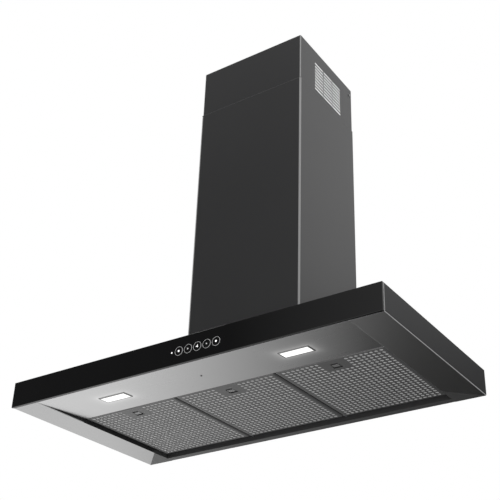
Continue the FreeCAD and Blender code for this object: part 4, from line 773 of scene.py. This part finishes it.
def mesh_layer(side):
    """Pleated aluminium mesh of a filter, its crests on the columns of holes."""
    node = f"filter_core_{side}"
    low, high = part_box(node)
    guide_low, guide_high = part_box(f"latch_guide_{side}")
    middle = (low.x + high.x) / 2
    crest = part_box(f"filter_tray_{side}")[0].z + SHEET + MESH_GAP
    valley = high.z - WIRE
    places = [(low.x, valley)]
    for column in range(HOLE_COLUMNS):
        centre = middle + (column - HOLE_COLUMNS // 2) * HOLE_PITCH_X
        places += [(centre - VALLEY_START, valley), (centre - CREST_HALF, crest),
                   (centre + CREST_HALF, crest), (centre + VALLEY_START, valley)]
    places.append((high.x, valley))
    shape = bmesh.new()
    points = Points(shape)
    for (x0, z0), (x1, z1) in zip(places, places[1:]):
        behind_guide = x1 > guide_low.x - WIRE and x0 < guide_high.x + WIRE
        front = guide_high.y + WIRE if behind_guide else low.y
        points.face([(x0, front, z0), (x1, front, z1), (x1, high.y, z1), (x0, high.y, z0)])
    for face in shape.faces:
        face.normal_update()
        if face.normal.z > 0:
            face.normal_flip()
    piece = to_piece(f"mesh_layer_{side}", shape, f"filter_{side}", "mesh_aluminium",
                     [node], keep_normals=True)
    thicken(piece, WIRE)


def lens_crown(side):
    """Frosted lens with a slight crown, set in its bezel on the sloping panel."""
    node = f"lamp_lens_{side}"
    low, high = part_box(node)
    centre = (low + high) / 2
    half_x = (high.x - low.x) / 2
    half_y = (high.y - low.y) / 2
    rise = (high.z - low.z - LENS_THICK) / (high.y - low.y)
    columns = LENS_COLUMNS
    rows = LENS_ROWS

    def place(column, row, lift):
        """Point of the lens's grid, on its upper or its crowned lower face."""
        across = 2 * column / columns - 1
        back = 2 * row / rows - 1
        crown = LENS_CROWN * (1 - across ** 4) * (1 - back ** 4)
        level = centre.z + back * half_y * rise
        return (centre.x + across * half_x, centre.y + back * half_y,
                level + LENS_THICK / 2 if lift else level - LENS_THICK / 2 - crown)

    shape = bmesh.new()
    points = Points(shape)
    for lift in (False, True):
        for column in range(columns):
            for row in range(rows):
                corners = ((column, row), (column + 1, row),
                           (column + 1, row + 1), (column, row + 1))
                points.face([place(*corner, lift) for corner in corners])
    border = [(column, 0) for column in range(columns)] + [(columns, row) for row in range(rows)]
    border += [(columns - number, rows) for number in range(columns)]
    border += [(0, rows - number) for number in range(rows)]
    for number, corner in enumerate(border):
        before = border[number - 1]
        points.face([place(*before, False), place(*corner, False), place(*corner, True),
                     place(*before, True)])
    piece = to_piece(f"lens_crown_{side}", shape, "hood", "lens_plastic", [node])
    smooth_by_angle(piece)


def cover_hem():
    """Bare upper edge of the lower chimney cover, a thin bright line round the joint."""
    low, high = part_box("lower_chimney_cover")
    foot = high.z - HEM_HEIGHT
    inside = low.y + HEM_DEEP
    shape = bmesh.new()
    boxes = [((low.x - HEM_PROUD, low.y - HEM_PROUD), (high.x + HEM_PROUD, inside)),
             ((low.x - HEM_PROUD, inside), (low.x + HEM_DEEP, high.y)),
             ((high.x - HEM_DEEP, inside), (high.x + HEM_PROUD, high.y))]
    for (x0, y0), (x1, y1) in boxes:
        made = bmesh.ops.create_cube(shape, size=1.0)
        size = (x1 - x0, y1 - y0, high.z - foot)
        bmesh.ops.scale(shape, vec=size, verts=made["verts"])
        middle = ((x0 + x1) / 2, (y0 + y1) / 2, (high.z + foot) / 2)
        bmesh.ops.translate(shape, vec=middle, verts=made["verts"])
    to_piece("cover_hem", shape, "hood", "hem_steel")


def thicken(piece, thickness):
    """Turn a surface into sheet of a thickness, on its inner side."""
    modifier = piece.modifiers.new("sheet", "SOLIDIFY")
    modifier.thickness = thickness
    modifier.offset = -1.0
    modifier.use_even_offset = True
    apply_modifiers(piece)


def apply_modifiers(piece):
    """Bake a piece's modifiers into its mesh."""
    graph = bpy.context.evaluated_depsgraph_get()
    mesh = bpy.data.meshes.new_from_object(piece.evaluated_get(graph))
    piece.modifiers.clear()
    old = piece.data
    piece.data = mesh
    bpy.data.meshes.remove(old)


def disc_mark(shape, centre, radius):
    """Round mark on a button's face."""
    x, y, z = centre
    corners = []
    for number in range(DISC_CORNERS):
        angle = math.tau * number / DISC_CORNERS
        place = (x + radius * math.cos(angle), y, z + radius * math.sin(angle))
        corners.append(shape.verts.new(place))
    shape.faces.new(corners)


def polygon_mark(shape, centre, outline):
    """Flat mark with straight sides."""
    x, y, z = centre
    shape.faces.new([shape.verts.new((x + across * MM, y, z + up * MM))
                     for across, up in outline])


def blades_mark(shape, centre):
    """Bladed fan mark."""
    for number in range(BLADES):
        turn = math.tau * number / BLADES
        polygon_mark(shape, centre, [(across * math.cos(turn) - up * math.sin(turn),
                                      across * math.sin(turn) + up * math.cos(turn))
                                     for across, up in BLADE])


def button_ring_pieces():
    """Round metal rings in the glass, their front edges rolled over."""
    low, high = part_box("button_rings")
    outer = (high.z - low.z) / 2
    inner = outer - RING_WALL
    profile = [(outer, high.y), (outer, low.y + RING_ROLL), (outer - RING_ROLL, low.y),
               (inner + RING_ROLL, low.y), (inner, low.y + RING_ROLL), (inner, high.y)]
    shape = bmesh.new()
    for number in BUTTONS:
        cap_low, cap_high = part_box(f"button_{number}")
        middle = (cap_low + cap_high) / 2
        rings = []
        for step in range(RING_SEGMENTS):
            angle = math.tau * step / RING_SEGMENTS
            rings.append([shape.verts.new((middle.x + radius * math.cos(angle), y,
                                           middle.z + radius * math.sin(angle)))
                          for radius, y in profile])
        for step, ring in enumerate(rings):
            before = rings[step - 1]
            for corner in range(len(profile)):
                shape.faces.new([before[corner - 1], before[corner],
                                 ring[corner], ring[corner - 1]])
    piece = to_piece("ring_set", shape, "hood", "button_metal", ["button_rings"])
    smooth_by_angle(piece, RING_FOLD)


def button_marks():
    """A small lit symbol on each button."""
    for number in BUTTONS:
        low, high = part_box(f"button_{number}")
        centre = ((low.x + high.x) / 2, low.y, (low.z + high.z) / 2)
        shape = bmesh.new()
        bright = number in BRIGHT_BUTTONS
        if number == 2:
            polygon_mark(shape, centre, TRIANGLE)
        elif number == 3:
            blades_mark(shape, centre)
        else:
            disc_mark(shape, centre, BRIGHT_DISC if bright else DIM_DISC)
        extruded = bmesh.ops.extrude_face_region(shape, geom=shape.faces[:])
        moved = [item for item in extruded["geom"] if isinstance(item, bmesh.types.BMVert)]
        bmesh.ops.translate(shape, verts=moved, vec=(0, MARK_DEPTH, 0))
        bmesh.ops.translate(shape, verts=shape.verts, vec=(0, -MARK_PROUD, 0))
        to_piece(f"button_mark_{number}", shape, f"push_{number}",
                 "bright_mark" if bright else "dim_mark")


# ---------------------------------------------------------------- stage

# Floor: its level, its tone, its share of plain white near the hood, its half width, and how far
# from the middle it starts and ends to fade into the white background.
FLOOR_LEVEL = -3.6
FLOOR_TONE = (0.80, 0.80, 0.80)
FLOOR_WHITE = 0.7
FLOOR_REACH = 9.0
FADE_START = 2.5
FADE_END = 7.5

# Light of the surroundings on the object.
WORLD_TONE = (0.60, 0.60, 0.60)

# Dark flags: corners, then ramps that thin the cloth out.  Each ramp gives an axis, where the
# cloth is clear and where it is dense, and how dense.
CLOTH = (0.004, 0.004, 0.004)
FLAGS = {
    "flag_behind": ([(-3.2, 1.5, -2.15), (3.2, 1.5, -2.15), (3.2, 1.5, 1.3), (-3.2, 1.5, 1.3)],
                    [("X", -2.0, -0.5, 0.97), ("Z", 1.2, 0.8, 1.0)]),
    "flag_facing": ([(-5.5, -3.2, -2.1), (0.6, -3.2, -2.1), (0.6, -3.2, 5.5), (-5.5, -3.2, 5.5)],
                    [("X", 0.3, -1.9, 0.89)]),
}

# Lamps: place, target, width, and power in watts.
LAMPS = {
    "low_left": ((-2.3, 1.7, -0.95), (-0.3, -0.2, 0.0), 1.5, 34),
    "high_right": ((2.2, -0.6, 2.4), (0.1, -0.2, 0.4), 1.6, 15),
    "front_left": ((-1.8, -2.6, 1.2), (0.0, -0.2, 0.3), 1.6, 16),
}

# The photograph's camera: place, degrees above level and to the left, lens and sensor in
# millimetres, shift, and how far it sees.
CAMERA_PLACE = (1.1238, -1.8150, -0.7582)
CAMERA_UP = 28.79
CAMERA_LEFT = 31.33
CAMERA_LENS = 70.23
CAMERA_SENSOR = 36.0
CAMERA_SHIFT = (-0.1207, 0.0501)
CAMERA_REACH = 50.0


def plane(name, corners, material):
    """Flat stage piece through four corners."""
    mesh = bpy.data.meshes.new(name)
    mesh.from_pydata(corners, [], [(0, 1, 2, 3)])
    thing = bpy.data.objects.new(name, mesh)
    thing.data.materials.append(material)
    bpy.context.scene.collection.objects.link(thing)
    return thing


def direct_rays(tree):
    """One for what is seen straight, in a reflection or through something; else nought."""
    rays = tree.nodes.new("ShaderNodeLightPath")
    result = rays.outputs["Is Camera Ray"]
    for name in ("Is Glossy Ray", "Is Transmission Ray"):
        wider = tree.nodes.new("ShaderNodeMath")
        wider.operation = "MAXIMUM"
        tree.links.new(result, wider.inputs[0])
        tree.links.new(rays.outputs[name], wider.inputs[1])
        result = wider.outputs["Value"]
    return result


def shade_between(made, factor, first, second):
    """Show one of two shaders, or a mix of them, on a finish."""
    mix = made.node("ShaderNodeMixShader")
    made.link(factor, mix.inputs["Fac"])
    made.link(first, mix.inputs[1])
    made.link(second, mix.inputs[2])
    made.link(mix.outputs["Shader"], made.tree.nodes["Material Output"].inputs["Surface"])


def make_floor():
    """Plain white floor, well below the hood, that shows its shadow and fades out far away."""
    made = Finish("floor_paint", FLOOR_TONE, 0.9, specular=0.1)
    made.mottle(1.5, 0.01)
    made.close()
    x, y, _ = made.parts()
    squares = made.maths("ADD", made.maths("MULTIPLY", x, x), made.maths("MULTIPLY", y, y))
    away = made.maths("SQRT", squares)
    white_share = made.ranged(away, FADE_START, FADE_END, FLOOR_WHITE, 1.0)
    white = made.node("ShaderNodeEmission")
    white.inputs["Strength"].default_value = 1.0
    shade_between(made, made.maths("MULTIPLY", direct_rays(made.tree), white_share),
                  made.shader.outputs["BSDF"], white.outputs["Emission"])
    corners = [(x_side * FLOOR_REACH, y_side * FLOOR_REACH, FLOOR_LEVEL)
               for x_side, y_side in ((-1, -1), (1, -1), (1, 1), (-1, 1))]
    plane("floor", corners, made.material)


def graded_cloth(name, ramps):
    """Black cloth that thins out along its ramps."""
    made = Finish(name, CLOTH, 0.9, specular=0.0)
    made.mottle(2.0, 0.1)
    made.close()
    places = dict(zip("XYZ", made.parts()))
    density = 1.0
    for axis, clear, dense, most in ramps:
        density = made.maths("MULTIPLY", density,
                             made.ranged(places[axis], clear, dense, 0.0, most))
    gap = made.node("ShaderNodeBsdfTransparent")
    shade_between(made, density, gap.outputs["BSDF"], made.shader.outputs["BSDF"])
    return made.material


def make_flags():
    """Dark studio flags that only reflections show, thinning out at their ends."""
    for name, (corners, ramps) in FLAGS.items():
        flag = plane(name, corners, graded_cloth(f"{name}_cloth", ramps))
        flag.visible_camera = False
        flag.visible_diffuse = False
        flag.visible_transmission = False
        flag.visible_shadow = False


def area_lamp(name, place, target, size, watts):
    """Soft square lamp aimed at a point."""
    data = bpy.data.lights.new(name, "AREA")
    data.shape = "SQUARE"
    data.size = size
    data.energy = watts
    lamp = bpy.data.objects.new(name, data)
    lamp.location = place
    lamp.rotation_euler = (Vector(target) - Vector(place)).to_track_quat("-Z", "Y").to_euler()
    lamp.visible_glossy = False
    bpy.context.scene.collection.objects.link(lamp)


def make_world():
    """White background for the eye and for reflections, softer light on the object."""
    world = bpy.data.worlds.new("studio")
    bpy.context.scene.world = world
    world.use_nodes = True
    tree = world.node_tree
    tree.nodes.clear()
    white = tree.nodes.new("ShaderNodeBackground")
    white.inputs["Color"].default_value = (1, 1, 1, 1)
    soft = tree.nodes.new("ShaderNodeBackground")
    soft.inputs["Color"].default_value = (*WORLD_TONE, 1)
    mix = tree.nodes.new("ShaderNodeMixShader")
    out = tree.nodes.new("ShaderNodeOutputWorld")
    tree.links.new(direct_rays(tree), mix.inputs["Fac"])
    tree.links.new(soft.outputs[0], mix.inputs[1])
    tree.links.new(white.outputs[0], mix.inputs[2])
    tree.links.new(mix.outputs[0], out.inputs["Surface"])


def make_lights():
    """A broad lamp behind and below on the left, and weak ones from the right and in front."""
    for name, (place, target, size, watts) in LAMPS.items():
        area_lamp(name, place, target, size, watts)


def make_camera():
    """The photograph's viewpoint: below the hood, in front and to its right."""
    data = bpy.data.cameras.new("view")
    data.lens = CAMERA_LENS
    data.sensor_width = CAMERA_SENSOR
    data.shift_x, data.shift_y = CAMERA_SHIFT
    data.clip_end = CAMERA_REACH
    camera = bpy.data.objects.new("view", data)
    camera.location = CAMERA_PLACE
    camera.rotation_euler = (math.radians(90 + CAMERA_UP), 0.0, math.radians(CAMERA_LEFT))
    bpy.context.scene.collection.objects.link(camera)
    bpy.context.scene.camera = camera


# ---------------------------------------------------------------- assembly

dress_nodes()
for side in SIDES:
    perforated_tray(side)
    mesh_layer(side)
for side in ("left", "right"):
    lens_crown(side)
cover_hem()
button_ring_pieces()
button_marks()
make_floor()
make_flags()
make_world()
make_lights()
make_camera()
bpy.context.scene.view_settings.view_transform = "Standard"
